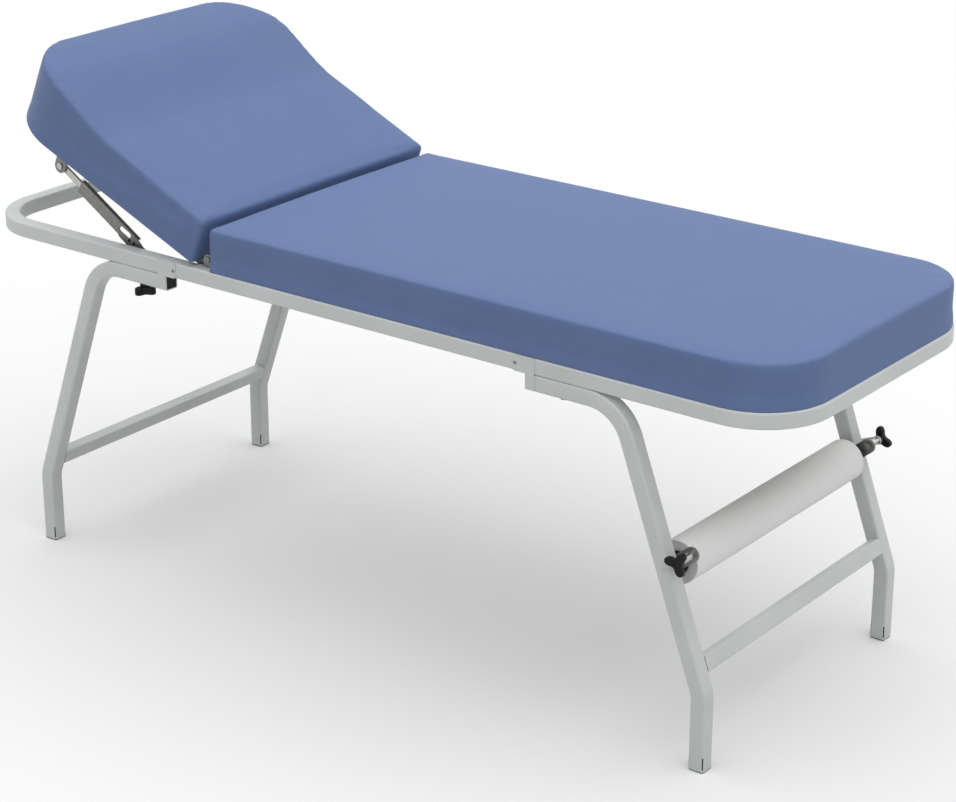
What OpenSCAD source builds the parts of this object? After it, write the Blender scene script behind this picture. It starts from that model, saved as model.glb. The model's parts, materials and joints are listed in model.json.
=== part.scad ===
/* [Frame] */
// Length of the top frame over its outer faces
frame_length = 1860; // [1700:5:2000]
// Width of the top frame over its outer faces
frame_width = 655; // [560:5:720]
// Height of the top frame's upper face above the floor
frame_height = 670; // [600:5:760]
// Outer corner radius of the top frame, seen from above
frame_corner = 132; // [90:2:160]
// Outside size of the square tube
tube = 30; // [28:1:36]
// Wall of the square tube
tube_wall = 2; // [1.5:0.25:3]
// Rounding of the square tube's outside edges
tube_edge = 4; // [3:0.5:6]
// Number of cross tubes under the foot section, apart from the one at the hinge
cross_count = 2; // [1:1:3]
// Distance of the last cross tube's middle from the foot end
cross_last = 250; // [180:5:350]

/* [Legs] */
// Set-back of the feet's outer faces from the frame's ends
foot_set_back = 134; // [90:2:180]
// Height of the lower bend's corner point on the tube's middle line
low_bend_height = 141.5; // [110:0.5:180]
// Lean of the legs' sloping part from the upright
leg_lean = 20; // [14:0.5:24]
// Middle-line radius of the lower bend
low_bend_radius = 60; // [45:1:90]
// Middle-line radius of the upper bend
high_bend_radius = 85; // [60:1:110]
// Distance of the legs' level runs' inner ends from the frame's ends
run_set_back = 512; // [480:1:560]
// Depth of the leg crossbars, square to the legs
bar_depth = 22; // [12:1:28]
// Height of the leg crossbars, along the legs
bar_height = 30; // [20:1:50]
// Rounding of the crossbars' edges
bar_edge = 3; // [2.5:0.5:6]
// Wall of the leg crossbars
bar_wall = 1.5; // [1:0.25:3]
// Height of the head crossbar's middle
head_bar_at = 180; // [170:1:260]
// Height of the foot crossbar's middle
foot_bar_at = 188; // [180:1:260]

/* [Feet and caps] */
// Thickness of the foot plugs' base
foot_base = 1.5; // [1:0.5:4]
// Height of the foot plugs inside the tube
plug_height = 38; // [30:1:60]
// Width of the slit at each corner of the tube's foot
slit_width = 2.4; // [1.5:0.1:4]
// Height of the slits
slit_height = 23; // [15:1:28]
// Height of the slits' lower end
slit_from = 6; // [5:0.5:7]
// Depth of the run caps inside the tube
cap_depth = 12; // [8:1:20]
// Set-back of the run caps' face in the tube mouth
cap_inset = 1; // [0.5:0.5:3]
// Thickness of the tab that ties each run's end to the rail
tab_thick = 1.5; // [1:0.25:3]
// Length of the tab along the rail, over both its parts
tab_length = 46; // [40:1:60]
// Length of the tab's wide part, which laps the run
tab_lap = 19; // [12:1:24]

/* [Foot section] */
// Place of the foot section's end at the hinge, from the middle towards the head
foot_section_start = 314; // [300:1:330]
// Set-back of the foot cushion from the frame's foot end
foot_section_inset = 2; // [0:1:10]
// Height of the foot cushion above the frame
foot_thick = 87; // [60:1:110]
// Thickness of both boards
board_thick = 15; // [12:1:20]
// Width of the cushion's skirt round the board
skirt = 6; // [4:0.5:10]
// Corner radius of the foot cushion at the foot end
foot_corner = 130; // [80:2:150]
// Corner radius of both cushions at the hinge, seen from above
hinge_corner = 18; // [10:1:24]
// Rounding of the cushions' upper edges
cushion_edge = 14; // [8:1:22]
// Rise of the cushions' crown
crown = 3; // [1:0.5:8]
// Depth by which the cushions' sides are drawn in at the foot of the skirt
draw_in = 1.5; // [0.5:0.25:3]

/* [Head section] */
// Tilt of the head section from level
head_tilt = 23; // [0:1:26]
// Length of the head cushion
head_length = 545; // [500:1:600]
// Width of the head cushion
head_width = 658; // [560:2:715]
// Corner radius of the head cushion at its free end
head_corner = 138; // [80:2:150]
// Height of the head board's underside above the frame when the section lies flat
head_rest_gap = 1; // [0.5:0.25:3]
// Thickness of the head section at the hinge end
head_thick = 93; // [60:1:96]
// Further thickness gained up to the crease of the pillow
head_gain = 9.5; // [0:0.5:15]
// Place of the pillow's start from the hinge end
pillow_start = 258; // [220:2:300]
// Length of the pillow's rise
pillow_run = 203; // [150:1:250]
// Height of the pillow's rise
pillow_rise = 36.5; // [20:0.5:60]

/* [Hinge] */
// Place of the hinge axis, from the middle towards the head
hinge_at = 327; // [325:0.5:329]
// Height of the hinge axis above the frame
hinge_height = 15; // [13:0.5:18]
// Distance from the hinge axis to the head section's end when it lies flat
hinge_setback = 18; // [16:0.5:22]
// Diameter of the hinge pins
hinge_pin = 8; // [6:0.5:9]
// Radius of the round ears
ear_radius = 10.5; // [9:0.5:11]
// Thickness of the frame's ears
ear_thick = 5; // [3:0.5:6]
// Set-back of the frame's ears from the rail's inner face
ear_inset = 5; // [3:0.5:8]
// Thickness of the head section's hinge straps
strap_thick = 4; // [3:0.5:6]
// Gap between the straps and the rails
strap_gap = 2.5; // [1:0.5:5]
// Length of the straps under the board
strap_length = 80; // [60:5:120]
// Width of the straps' flange
strap_flange = 36; // [28:1:50]

/* [Stays] */
// Place of the stays' lower pivot, from the middle towards the head
stay_low_at = 512; // [500:1:525]
// Depth of the stays' lower pivot below the frame's upper face
stay_low_depth = 10; // [9.5:0.5:14]
// Distance of the stays' upper pivot from the hinge, along the board
stay_high_at = 404.5; // [395:0.5:415]
// Distance of the stays' upper pivot below the board's underside
stay_high_drop = 41.5; // [36:0.5:48]
// Width of the stays' bars
stay_bar_width = 14; // [12:0.5:16]
// Thickness of the stays' bars
stay_bar_thick = 5; // [4:0.5:6]
// Sheet of the stays' channels
stay_sheet = 2; // [1.5:0.25:2.5]
// Length of the stays' channels beyond the lower pivot
stay_channel_length = 188; // [150:1:195]
// Radius of the stays' channels and brackets round the lower pivot
stay_nose = 9; // [8:0.5:10]
// Distance kept between a bar's tip and the lower pivot when the section lies flat
stay_tip_gap = 45; // [42:1:60]
// Start of the windows in the stays' channels, from the lower pivot
window_from = 37; // [30:1:45]
// Length of the windows in the stays' channels
window_length = 31; // [20:1:36]
// Width of the windows in the stays' channels
window_width = 11; // [6:0.5:12]
// Diameter of the stays' pivots
stay_pin = 8; // [6:0.5:9]
// Distance of the stays' outer faces from the rails' inner faces
stay_inset = 5; // [4.5:0.5:8]

/* [Paper roll] */
// Distance of the roll's middle inwards from the feet's outer faces
roll_inset = 93; // [80:1:105]
// Height of the roll's middle
roll_height = 352; // [330:1:370]
// Diameter of the paper roll
roll_diameter = 79; // [60:1:90]
// Gap between the paper roll's ends and the collars beside them
roll_end_gap = 9.5; // [6:0.5:60]
// Outside diameter of the cardboard core
core_diameter = 42; // [36:1:50]
// Wall of the cardboard core
core_wall = 2.5; // [1.5:0.25:4]
// Diameter of the rod that carries the roll
rod_diameter = 12; // [8:1:16]
// Distance of the clamp stud from the roll's middle, outwards
stud_out = 38; // [35:1:50]
// Height of the clamp stud above the roll's middle
stud_up = 31; // [24:1:38]
// Thickness of the clamp plates
plate_thick = 3; // [2:0.5:4]
// Width of the clamp plates inside the legs
plate_width = 27; // [22:1:32]
// Width of the clamp plates outside the legs
jaw_width = 16; // [14:0.5:27]

/* [Knobs] */
// Diameter of the screwed studs
stud = 8; // [6:0.5:10]
// Reach of the roll knobs' lobes from their middle
roll_knob_reach = 23.5; // [20:0.5:32]
// Thickness of the roll knobs
roll_knob_thick = 11; // [8:0.5:20]
// Reach of the leg clamp knobs' lobes from their middle
leg_knob_reach = 22; // [18:0.5:28]
// Thickness of the leg clamp knobs
leg_knob_thick = 15; // [10:1:20]
// Distance of the leg clamp knobs from the level runs' inner ends
leg_knob_in = 71; // [55:1:85]
// Turn of the near roll knob's first lobe from level
near_knob_turn = 175; // [0:1:359]
// Turn of the far roll knob's first lobe from level
far_knob_turn = 97; // [0:1:359]
// Turn of the leg clamp knobs' first lobe
leg_knob_turn = 20; // [0:1:359]

/* [Fits] */
// Running clearance round a turning pin
pin_fit = 0.05; // [0.03:0.01:0.1]
// Clearance round a plug, or between the cushion and its board
loose_fit = 0.3; // [0.2:0.05:0.5]
// Sideways play of a stay's bar in its channel
stay_play = 4; // [3.6:0.1:5]
// Clearance round screws and studs in their through holes
bolt_fit = 0.3; // [0.2:0.05:0.5]

/* [Hidden] */
$fn = 48;

paint = "#C9CCCC";
zinc = "#8C8C8A";
bright_steel = "#B8B8B8";
black_plastic = "#1A1A1A";
upholstery = "#778BB7";
plywood = "#B8B6B1";
paper = "#F4F4F2";
card = "#B59A72";

rail_y = (frame_width - tube) / 2;
rail_in = frame_width / 2 - tube;
rail_z = frame_height - tube / 2;
rail_under = frame_height - tube;
run_z = rail_under - tube / 2;
run_under = rail_under - tube;
bore = tube - 2 * tube_wall;

foot_reach = frame_length / 2 - foot_set_back;
run_end = frame_length / 2 - run_set_back;
leg_knob_at = run_end + leg_knob_in;
foot_mid = foot_reach - tube / 2;
slope_top_x = foot_mid - (run_z - low_bend_height) * tan(leg_lean);
low_tangent = low_bend_radius * tan(leg_lean / 2);
high_tangent = high_bend_radius * tan((90 - leg_lean) / 2);
low_bend_start = low_bend_height - low_tangent;
high_bend_start = [slope_top_x + high_tangent * sin(leg_lean), run_z - high_tangent * cos(leg_lean)];
high_bend_mid = high_bend_start - high_bend_radius * [cos(leg_lean), sin(leg_lean)];
// The legs' middle line: [x, z, turn from the upright].
leg_line = concat(
    [[foot_mid, foot_base, 0]],
    [for (k = [0:4]) let (a = leg_lean * k / 4)
        [foot_mid - low_bend_radius * (1 - cos(a)), low_bend_start + low_bend_radius * sin(a), a]],
    [for (k = [0:10]) let (a = leg_lean + (90 - leg_lean) * k / 10)
        [high_bend_mid[0] + high_bend_radius * cos(a), high_bend_mid[1] + high_bend_radius * sin(a), a]],
    [[run_end, run_z, 90]]
);

foot_section_end = frame_length / 2 - foot_section_inset;
foot_top = frame_height + foot_thick;
hinge_x = -hinge_at;
hinge_z = frame_height + hinge_height;
head_under = frame_height + head_rest_gap;
head_near = hinge_x - hinge_setback;
head_far = head_near - head_length;

strap_out = rail_in - strap_gap;
strap_hook = 5;
strap_low_x = hinge_x - strap_hook;
strap_width = 16;
strap_mid_z = head_under - 1 - strap_width / 2;
flange_thick = 3;

stay_low = [-stay_low_at, frame_height - stay_low_depth];
stay_high = [hinge_x - stay_high_at, head_under - stay_high_drop];
stay_high_now = [
    hinge_x + (stay_high[0] - hinge_x) * cos(head_tilt) + (stay_high[1] - hinge_z) * sin(head_tilt),
    hinge_z - (stay_high[0] - hinge_x) * sin(head_tilt) + (stay_high[1] - hinge_z) * cos(head_tilt)
];
stay_angle = atan2(stay_high_now[1] - stay_low[1], stay_low[0] - stay_high_now[0]);
stay_flat = norm(stay_high - stay_low);
stay_bar_length = stay_flat - stay_tip_gap;
stay_out = rail_in - stay_inset;
channel_clear = stay_bar_width + 2 * stay_play;
channel_height = channel_clear + 2 * stay_sheet;
channel_depth = stay_bar_thick + 2 * stay_sheet;
stay_eye = 12;
rivet_head = 2.5;
rivet_rim = 2.5;
low_lead = 12;
high_lead = 20;
catch_spots = [[24, 0], [36, -4]];
catch_width = 10;
catch_rivet = 4;
catch_plate = 18;
catch_plate_hang = [4, 3];
catch_plate_reach = 22;
window_rise = [4, 2];
lug_thick = 3;
lug_rim = 2;
lug_flange = 28;
lug_flange_length = 40;
lug_screw_pitch = 18;

knob_hub = 12;
hub_rim = 3;
leg_knob_hub = 8;
roll_knob_hub = 5;
knob_stud_depth = 16;
turn_gap = 0.3;
screw_shank = 5;
screw_head = 10;
screw_head_thick = 3;
screw_grip = 12;
washer_wall = 2;
nut_height = 6.5;
nut_width = 13;
screw_out = 3;
bolt_head = 14;
bolt_head_thick = 4;

collar_length = 6;
collar_wall = 4;
bush_flange = 2;
bush_plug = 20;
bush_wall = 3;
roll_at = foot_reach - roll_inset;
roll_length = 2 * (rail_in - plate_thick - collar_length - roll_end_gap);
stud_place = [roll_at + stud_out, roll_height + stud_up];

// A rounded rectangle, drawn from true circles and rectangles.
module rounded_block(width, height, edge) {
    square([width, height - 2 * edge], center = true);
    square([width - 2 * edge, height], center = true);
    for (sx = [-1, 1], sy = [-1, 1]) {
        translate([sx * (width / 2 - edge), sy * (height / 2 - edge)]) circle(r = edge);
    }
}

module rounded_square(side, edge) {
    rounded_block(side, side, edge);
}

module tube_section() {
    difference() {
        rounded_square(tube, tube_edge);
        rounded_square(bore, tube_edge - tube_wall / 2);
    }
}

// A flat link with round ends between two points.
module link(from, to, width) {
    hull() {
        translate(from) circle(d = width, $fn = 32);
        translate(to) circle(d = width, $fn = 32);
    }
}

// Lays a drawing of the side view, with x along the table and y up, between two
// distances from the middle.
module side_plate(inner, outer) {
    for (side = [-1, 1]) one_side_plate(inner, outer, side) children();
}

module one_side_plate(inner, outer, side) {
    lowest = side > 0 ? inner : -outer;
    translate([0, lowest + outer - inner, 0]) rotate([90, 0, 0]) {
        linear_extrude(outer - inner) children();
    }
}

// A cylinder along the table's width between two distances from the middle.
module side_rod(place, radius, inner, outer, side) {
    one_side_plate(inner, outer, side) translate(place) circle(r = radius);
}

// Points round a rounded square, from the middle of its first corner's arc on.
function rounded_square_points(side, edge) = [for (quarter = [0:90:270], a = [0:30:90])
    let (
        c = side / 2 - edge,
        turn = quarter + a,
        sx = cos(quarter + 45) > 0 ? 1 : -1,
        sy = sin(quarter + 45) > 0 ? 1 : -1
    )
    [sx * c + edge * cos(turn), sy * c + edge * sin(turn)]];

function swept(line, section) = [for (s = line, p = section)
    [s[0] + p[0] * cos(s[2]), p[1], s[1] + p[0] * sin(s[2])]];

// A hollow tube along a middle line, with triangle faces.
module swept_tube(line) {
    outside = rounded_square_points(tube, tube_edge);
    inside = rounded_square_points(bore, tube_edge - tube_wall / 2);
    n = len(outside);
    last = (len(line) - 1) * n;
    all = len(line) * n;
    skin = [for (k = [0:n:last - n], i = [0:n - 1], half = [0, 1])
        let (a = k + i, b = k + (i + 1) % n)
        half == 0 ? [a, b, b + n] : [a, b + n, a + n]];
    lining = [for (f = skin) [f[0] + all, f[2] + all, f[1] + all]];
    foot = [for (i = [0:n - 1], half = [0, 1]) let (j = (i + 1) % n)
        half == 0 ? [j, i, i + all] : [j, i + all, j + all]];
    mouth = [for (f = foot) [for (v = [2, 1, 0]) f[v] + last]];
    polyhedron(concat(swept(line, outside), swept(line, inside)), concat(skin, lining, foot, mouth));
}

// Turns what belongs to the head section from lying flat to its tilt.
module tilted() {
    translate([hinge_x, 0, hinge_z]) rotate([0, head_tilt, 0]) {
        translate([-hinge_x, 0, -hinge_z]) children();
    }
}

// Lays a stay's drawing, with x from the lower towards the upper pivot, on the stay's line.
module on_stay() {
    translate(stay_low) rotate(180 - stay_angle) mirror([0, 1]) children();
}

// Frame

module rail(side) {
    length = frame_length - 2 * frame_corner;
    color(paint) difference() {
        translate([-length / 2, side * rail_y, rail_z]) rotate([90, 0, 90]) {
            linear_extrude(length) tube_section();
        }
        for (x = [-leg_knob_at, leg_knob_at]) {
            translate([x, side * rail_y, rail_under - 1]) {
                cylinder(d = stud + 2 * bolt_fit, h = tube_wall + 2);
            }
        }
        for (x = [-1, 1]) {
            translate([x * tab_screw_at(), side * (frame_width / 2 + 1), rail_z]) rotate([90 * side, 0, 0]) {
                cylinder(d = screw_shank + 2 * pin_fit, h = tube_wall + 2);
            }
        }
    }
}

module rail_near() {
    rail(-1);
}

module rail_far() {
    rail(1);
}

module bow(end) {
    mid_radius = frame_corner - tube / 2;
    straight = frame_width - 2 * frame_corner;
    color(paint) translate([0, 0, rail_z]) mirror([end < 0 ? 1 : 0, 0, 0]) {
        for (side = [-1, 1]) {
            mirror([0, side < 0 ? 1 : 0, 0]) {
                translate([frame_length / 2 - frame_corner, frame_width / 2 - frame_corner, 0]) {
                    rotate_extrude(angle = 90, $fn = 96) translate([mid_radius, 0]) tube_section();
                }
            }
        }
        translate([(frame_length - tube) / 2, straight / 2, 0]) {
            rotate([90, 0, 0]) linear_extrude(straight) tube_section();
        }
    }
}

module head_bow() {
    bow(-1);
}

module foot_bow() {
    bow(1);
}

// A tube between the rails, with holes for the screws that hold the board.
module cross_tube(x) {
    difference() {
        translate([x, rail_in, rail_z]) rotate([90, 0, 0]) linear_extrude(2 * rail_in) tube_section();
        for (side = [-1, 1]) {
            translate([x, side * screw_line(), rail_under - 1]) {
                cylinder(d = screw_shank + 2 * bolt_fit, h = tube + 2);
            }
        }
    }
}

function screw_line() = rail_in - 90;
function hinge_cross_x() = -foot_section_start + tube / 2 + 2;
function cross_x(i) = let (last = frame_length / 2 - cross_last)
    hinge_cross_x() + (last - hinge_cross_x()) * i / cross_count;
function tab_screw_at() = run_end + tab_lap - tab_length + 6;

module hinge_cross_tube() {
    color(paint) cross_tube(hinge_cross_x());
}

module cross_tubes() {
    color(paint) for (i = [1:cross_count]) cross_tube(cross_x(i));
}

// Legs

module leg(end, side) {
    color(paint) mirror([end < 0 ? 1 : 0, 0, 0]) difference() {
        translate([0, side * rail_y, 0]) swept_tube(leg_line);
        translate([leg_knob_at, side * rail_y, run_under - 1]) {
            cylinder(d = stud + 2 * bolt_fit, h = tube + 2);
        }
        translate([foot_mid, side * rail_y, 0]) slits(tube);
    }
}

// The upright slits at a foot's four corners.
module slits(reach) {
    for (turn = [45:90:315]) {
        rotate(turn) translate([bore / 2, -slit_width / 2, slit_from]) cube([reach, slit_width, slit_height]);
    }
}

module head_leg_near() {
    leg(-1, -1);
}

module head_leg_far() {
    leg(-1, 1);
}

module foot_leg_near() {
    leg(1, -1);
}

module foot_leg_far() {
    leg(1, 1);
}

// The middle line of a leg's sloping part at a height.
function slope_x(height) = foot_mid - (height - low_bend_height) * tan(leg_lean);

// A crossbar between two legs, flush with those faces of the legs that look towards the foot end.
module crossbar(end, middle) {
    out = (tube - bar_depth) / 2;
    height = middle - end * out * sin(leg_lean);
    color(paint) translate([end * slope_x(height), rail_in, height]) {
        rotate([90, -end * leg_lean, 0]) translate([out, 0, 0]) linear_extrude(2 * rail_in) difference() {
            rounded_block(bar_depth, bar_height, bar_edge);
            rounded_block(bar_depth - 2 * bar_wall, bar_height - 2 * bar_wall, bar_edge - bar_wall / 2);
        }
    }
}

module head_crossbar() {
    crossbar(-1, head_bar_at);
}

module foot_crossbar() {
    crossbar(1, foot_bar_at);
}

module at_feet() {
    for (end = [-1, 1], side = [-1, 1]) translate([end * foot_mid, side * rail_y, 0]) children();
}

module foot_plugs() {
    side = bore - 2 * loose_fit;
    rib_reach = tube / 2 * sqrt(2) - tube_edge * (sqrt(2) - 1) - 0.2;
    color(black_plastic) at_feet() {
        linear_extrude(foot_base) rounded_square(tube - 1, tube_edge);
        linear_extrude(plug_height) rounded_square(side, tube_edge - tube_wall / 2);
        for (turn = [45:90:315]) {
            rotate(turn) translate([0, -slit_width / 2 + 0.1, slit_from + 0.1]) {
                cube([rib_reach, slit_width - 0.2, slit_height - 0.2]);
            }
        }
    }
}

module at_run_ends() {
    for (end = [0, 1], side = [0, 1]) mirror([end, 0, 0]) mirror([0, side, 0]) children();
}

module run_caps() {
    color(black_plastic) at_run_ends() {
        translate([run_end + cap_inset, rail_y, run_z]) rotate([90, 0, 90]) {
            linear_extrude(cap_depth) rounded_square(bore - 0.2, tube_edge - tube_wall / 2);
        }
    }
}

// A flat tab welded to the run and screwed to the rail.
module leg_tabs() {
    corner = 6;
    near = run_end + tab_lap - tab_length;
    color(paint) at_run_ends() difference() {
        one_side_plate(frame_width / 2, frame_width / 2 + tab_thick, 1) {
            translate([near + corner, rail_under]) square([tab_length - corner, tube]);
            translate([near, rail_under + corner]) square([tab_length, tube - corner]);
            translate([near + corner, rail_under + corner]) circle(r = corner);
            translate([run_end, run_under + 2]) square([tab_lap, tube]);
        }
        side_rod([tab_screw_at(), rail_z], screw_shank / 2 + bolt_fit, rail_in, frame_width, 1);
    }
}

module tab_screws() {
    face = frame_width / 2 + tab_thick;
    color(zinc) at_run_ends() {
        side_rod([tab_screw_at(), rail_z], 3.5, face, face + 1.2, 1);
        side_rod([tab_screw_at(), rail_z], screw_shank / 2, frame_width / 2 - tube_wall - 3, face, 1);
    }
}

module foot_leg_bolts() {
    color(zinc) for (side = [-1, 1]) translate([leg_knob_at, side * rail_y, 0]) {
        translate([0, 0, run_under - bolt_head_thick]) cylinder(d = bolt_head, h = bolt_head_thick);
        translate([0, 0, run_under]) cylinder(d = stud, h = tube + tube_wall + nut_height + screw_out);
    }
}

module rail_nuts() {
    color(zinc) for (x = [-leg_knob_at, leg_knob_at], side = [-1, 1]) {
        translate([x, side * rail_y, rail_under + tube_wall]) difference() {
            cylinder(d = nut_width / cos(30), h = nut_height, $fn = 6);
            translate([0, 0, -1]) cylinder(d = stud + 2 * pin_fit, h = nut_height + 2);
        }
    }
}

// Cushions

// Set-back of a rounded corner or edge at a distance from the end.
function round_off(radius, distance) =
    distance >= radius ? 0 : radius - sqrt(radius * radius - pow(radius - distance, 2));

// One ring round a cushion's cross-section: [across, height] pairs from the underside's middle
// round to it again.
function half_ring(half, low, high) = let (
        edge = min(cushion_edge, (high - low) / 2),
        flat = half - edge,
        height = high - low
    ) concat(
        [[half * 0.5, low], [half - draw_in - 3, low], [half - draw_in, low + 3]],
        [[half - draw_in * 0.3, low + height * 0.3], [half, low + height * 0.55]],
        [for (a = [0:22.5:90]) [flat + edge * cos(a), high - edge + edge * sin(a) - crown]],
        [for (s = [0.85, 0.6, 0.3]) [flat * s, high - crown * s * s]]
    );

function ring(x, half, low, high) = let (right = half_ring(half, low, high), n = len(right)) concat(
        [[x, 0, low]],
        [for (p = right) [x, p[0], p[1]]],
        [[x, 0, high]],
        [for (i = [n - 1:-1:0]) [x, -right[i][0], right[i][1]]]
    );

// Joins rings of points along x into one closed form with triangle faces and a fan at each end.
module lofted(rings) {
    n = len(rings[0]);
    count = len(rings);
    middles = [for (r = [rings[0], rings[count - 1]]) [r[0][0], 0, (r[0][2] + r[n / 2][2]) / 2]];
    points = concat([for (r = rings, p = r) p], middles);
    start = count * n;
    sides = [for (k = [0:count - 2], i = [0:n - 1], half = [0, 1])
        let (a = k * n + i, b = k * n + (i + 1) % n, c = a + n, d = b + n)
        half == 0 ? [a, b, d] : [a, d, c]];
    first = [for (i = [0:n - 1]) [start, (i + 1) % n, i]];
    last = [for (i = [0:n - 1]) [start + 1, start - n + i, start - n + (i + 1) % n]];
    polyhedron(points, concat(sides, first, last));
}

// Distances from an end at which a cushion's rings lie, close together where it is round.
function end_steps(radius) = [for (a = [0:15:90]) radius * (1 - cos(a))];

function mirrored_last(steps, length) = [for (i = [len(steps) - 1:-1:0]) length - steps[i]];

// The rings of a cushion that runs from x = 0 to its length, with its free end at the length.
function cushion_rings(length, width, corner, low, tops, middle) = let (
        near = end_steps(hinge_corner),
        far = mirrored_last(concat([0, 2, 6], [for (s = end_steps(corner)) if (s > 8) s]), length),
        places = concat(near, middle, far)
    ) [for (i = [0:len(places) - 1]) let (
        x = places[i],
        from_far = length - x,
        half = width / 2 - round_off(corner, from_far) - round_off(hinge_corner, x),
        drop = max(round_off(cushion_edge, x), round_off(cushion_edge, from_far)),
        rise = tops(x)
    ) ring(x, half, low + min(drop, 3), low + rise - drop)];

// A board under a cushion: square at the hinge end and round at the free end.
module board_outline(length, width, corner) {
    near = skirt + draw_in + hinge_corner * 0.3;
    translate([near, -width / 2 + skirt]) square([length - near - corner, width - 2 * skirt]);
    translate([near, -width / 2 + corner]) square([length - near - skirt, width - 2 * corner]);
    for (side = [-1, 1]) {
        translate([length - corner, side * (width / 2 - corner)]) circle(r = corner - skirt, $fn = 96);
    }
}

module cushion_pocket(length, width, corner, low) {
    translate([0, 0, low - 1]) linear_extrude(board_thick + 1 + loose_fit) {
        board_outline(length, width, corner);
    }
}

foot_length = foot_section_end + foot_section_start;

module foot_board() {
    color(plywood) difference() {
        translate([-foot_section_start, 0, frame_height]) linear_extrude(board_thick) {
            board_outline(foot_length, frame_width, foot_corner);
        }
        for (i = [0:cross_count], side = [-1, 1]) {
            translate([cross_x(i), side * screw_line(), frame_height - 1]) {
                cylinder(d = screw_shank + 2 * pin_fit, h = screw_grip + 1.5);
            }
        }
    }
}

module foot_cushion() {
    tops = function (x) foot_thick - loose_fit;
    middle = [foot_length * 0.3, foot_length * 0.6];
    color(upholstery) translate([-foot_section_start, 0, 0]) difference() {
        lofted(cushion_rings(
            foot_length, frame_width, foot_corner, frame_height + loose_fit, tops, middle
        ));
        cushion_pocket(foot_length, frame_width, foot_corner, frame_height);
    }
}

module foot_board_screws() {
    color(zinc) for (i = [0:cross_count], side = [-1, 1]) {
        translate([cross_x(i), side * screw_line(), rail_under]) {
            translate([0, 0, -screw_head_thick]) cylinder(d = screw_head, h = screw_head_thick);
            cylinder(d = screw_shank, h = tube + screw_grip);
        }
    }
}

// Head section, drawn lying flat and then tilted

module head_place() {
    tilted() translate([head_near, 0, 0]) mirror([1, 0, 0]) children();
}

function smooth(s) = let (c = min(max(s, 0), 1)) c * c * (3 - 2 * c);

module head_board() {
    color(plywood) head_place() difference() {
        translate([0, 0, head_under]) linear_extrude(board_thick) {
            board_outline(head_length, head_width, head_corner);
        }
        for (p = head_screw_places()) {
            translate([p[0], p[1], head_under - 1]) {
                cylinder(d = screw_shank + 2 * pin_fit, h = screw_grip + 1.5);
            }
        }
    }
}

module head_cushion() {
    tops = function (x) head_thick + head_gain * min(x / pillow_start, 1)
        + pillow_rise * smooth((x - pillow_start) / pillow_run);
    middle = [for (s = [0.4, 0.8]) pillow_start * s];
    rise_end = min(pillow_start + pillow_run, head_length - head_corner - 5);
    rise = [for (x = [pillow_start:pillow_run / 6:rise_end]) x];
    color(upholstery) head_place() difference() {
        lofted(cushion_rings(
            head_length, head_width, head_corner, head_under, tops, concat(middle, rise)
        ));
        cushion_pocket(head_length, head_width, head_corner, head_under);
    }
}

// Places of the head board's screws: distance from the hinge end, and across.
function head_screw_places() = let (
        strap_x = [for (s = [0.3, 0.8]) hinge_screw_x(s)],
        strap_y = strap_out - strap_flange / 2 - strap_thick / 2,
        lug_y = stay_out - lug_flange / 2 - stay_sheet
    ) [
        for (side = [-1, 1], x = strap_x) [x, side * strap_y],
        for (side = [-1, 1], x = lug_screw_x()) [x, side * lug_y]
    ];

function hinge_screw_x(share) = skirt + 14 + (strap_length - 20) * share;
function lug_x() = head_near - stay_high[0];
function lug_screw_x() = [for (s = [-1, 1]) lug_x() + s * lug_screw_pitch / 2];

module hinge_ears() {
    inner = rail_in + ear_inset;
    color(zinc) difference() {
        side_plate(inner, inner + ear_thick) {
            translate([hinge_x, hinge_z]) circle(r = ear_radius);
            translate([hinge_x - ear_radius, frame_height]) square([2 * ear_radius, hinge_height]);
        }
        side_plate(rail_in, frame_width) translate([hinge_x, hinge_z]) circle(d = hinge_pin + 2 * pin_fit);
    }
}

module hinge_pins() {
    ear_in = rail_in + ear_inset;
    ear_out = ear_in + ear_thick;
    strap_in = strap_out - strap_thick;
    color(zinc) for (side = [-1, 1]) {
        side_rod([hinge_x, hinge_z], hinge_pin / 2, strap_in - turn_gap, ear_out, side);
        side_rod([hinge_x, hinge_z], hinge_pin / 2 + rivet_rim, strap_in - turn_gap - rivet_head, strap_in - turn_gap, side);
        side_rod([hinge_x, hinge_z], hinge_pin / 2 + rivet_rim, ear_out, ear_out + rivet_head, side);
        side_rod([hinge_x, hinge_z], hinge_pin / 2 + washer_wall, strap_out + turn_gap, ear_in, side);
    }
}

module hinge_straps() {
    tail = head_near - skirt - 10 - strap_length;
    color(zinc) tilted() difference() {
        union() {
            side_plate(strap_out - strap_thick, strap_out) {
                link([hinge_x, hinge_z], [strap_low_x, strap_mid_z], 2 * ear_radius - 4);
                link([strap_low_x, strap_mid_z], [tail + strap_width / 2, strap_mid_z], strap_width);
            }
            for (side = [-1, 1]) {
                translate([tail, side * (strap_out - strap_flange / 2) - strap_flange / 2, 0]) {
                    translate([0, 0, head_under - flange_thick]) {
                        cube([strap_length, strap_flange, flange_thick]);
                    }
                }
            }
        }
        side_plate(0, rail_in) translate([hinge_x, hinge_z]) circle(d = hinge_pin + 2 * pin_fit);
        translate([head_near, 0, 0]) mirror([1, 0, 0]) screw_holes();
    }
}

module screw_holes() {
    for (p = head_screw_places()) {
        translate([p[0], p[1], head_under - 10]) cylinder(d = screw_shank + 2 * bolt_fit, h = 12);
    }
}

module head_board_screws() {
    color(zinc) head_place() for (p = head_screw_places()) {
        translate([p[0], p[1], head_under - flange_thick - screw_head_thick]) {
            cylinder(d = screw_head, h = screw_head_thick);
            cylinder(d = screw_shank, h = screw_head_thick + flange_thick + screw_grip);
        }
    }
}

// Stays

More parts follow.
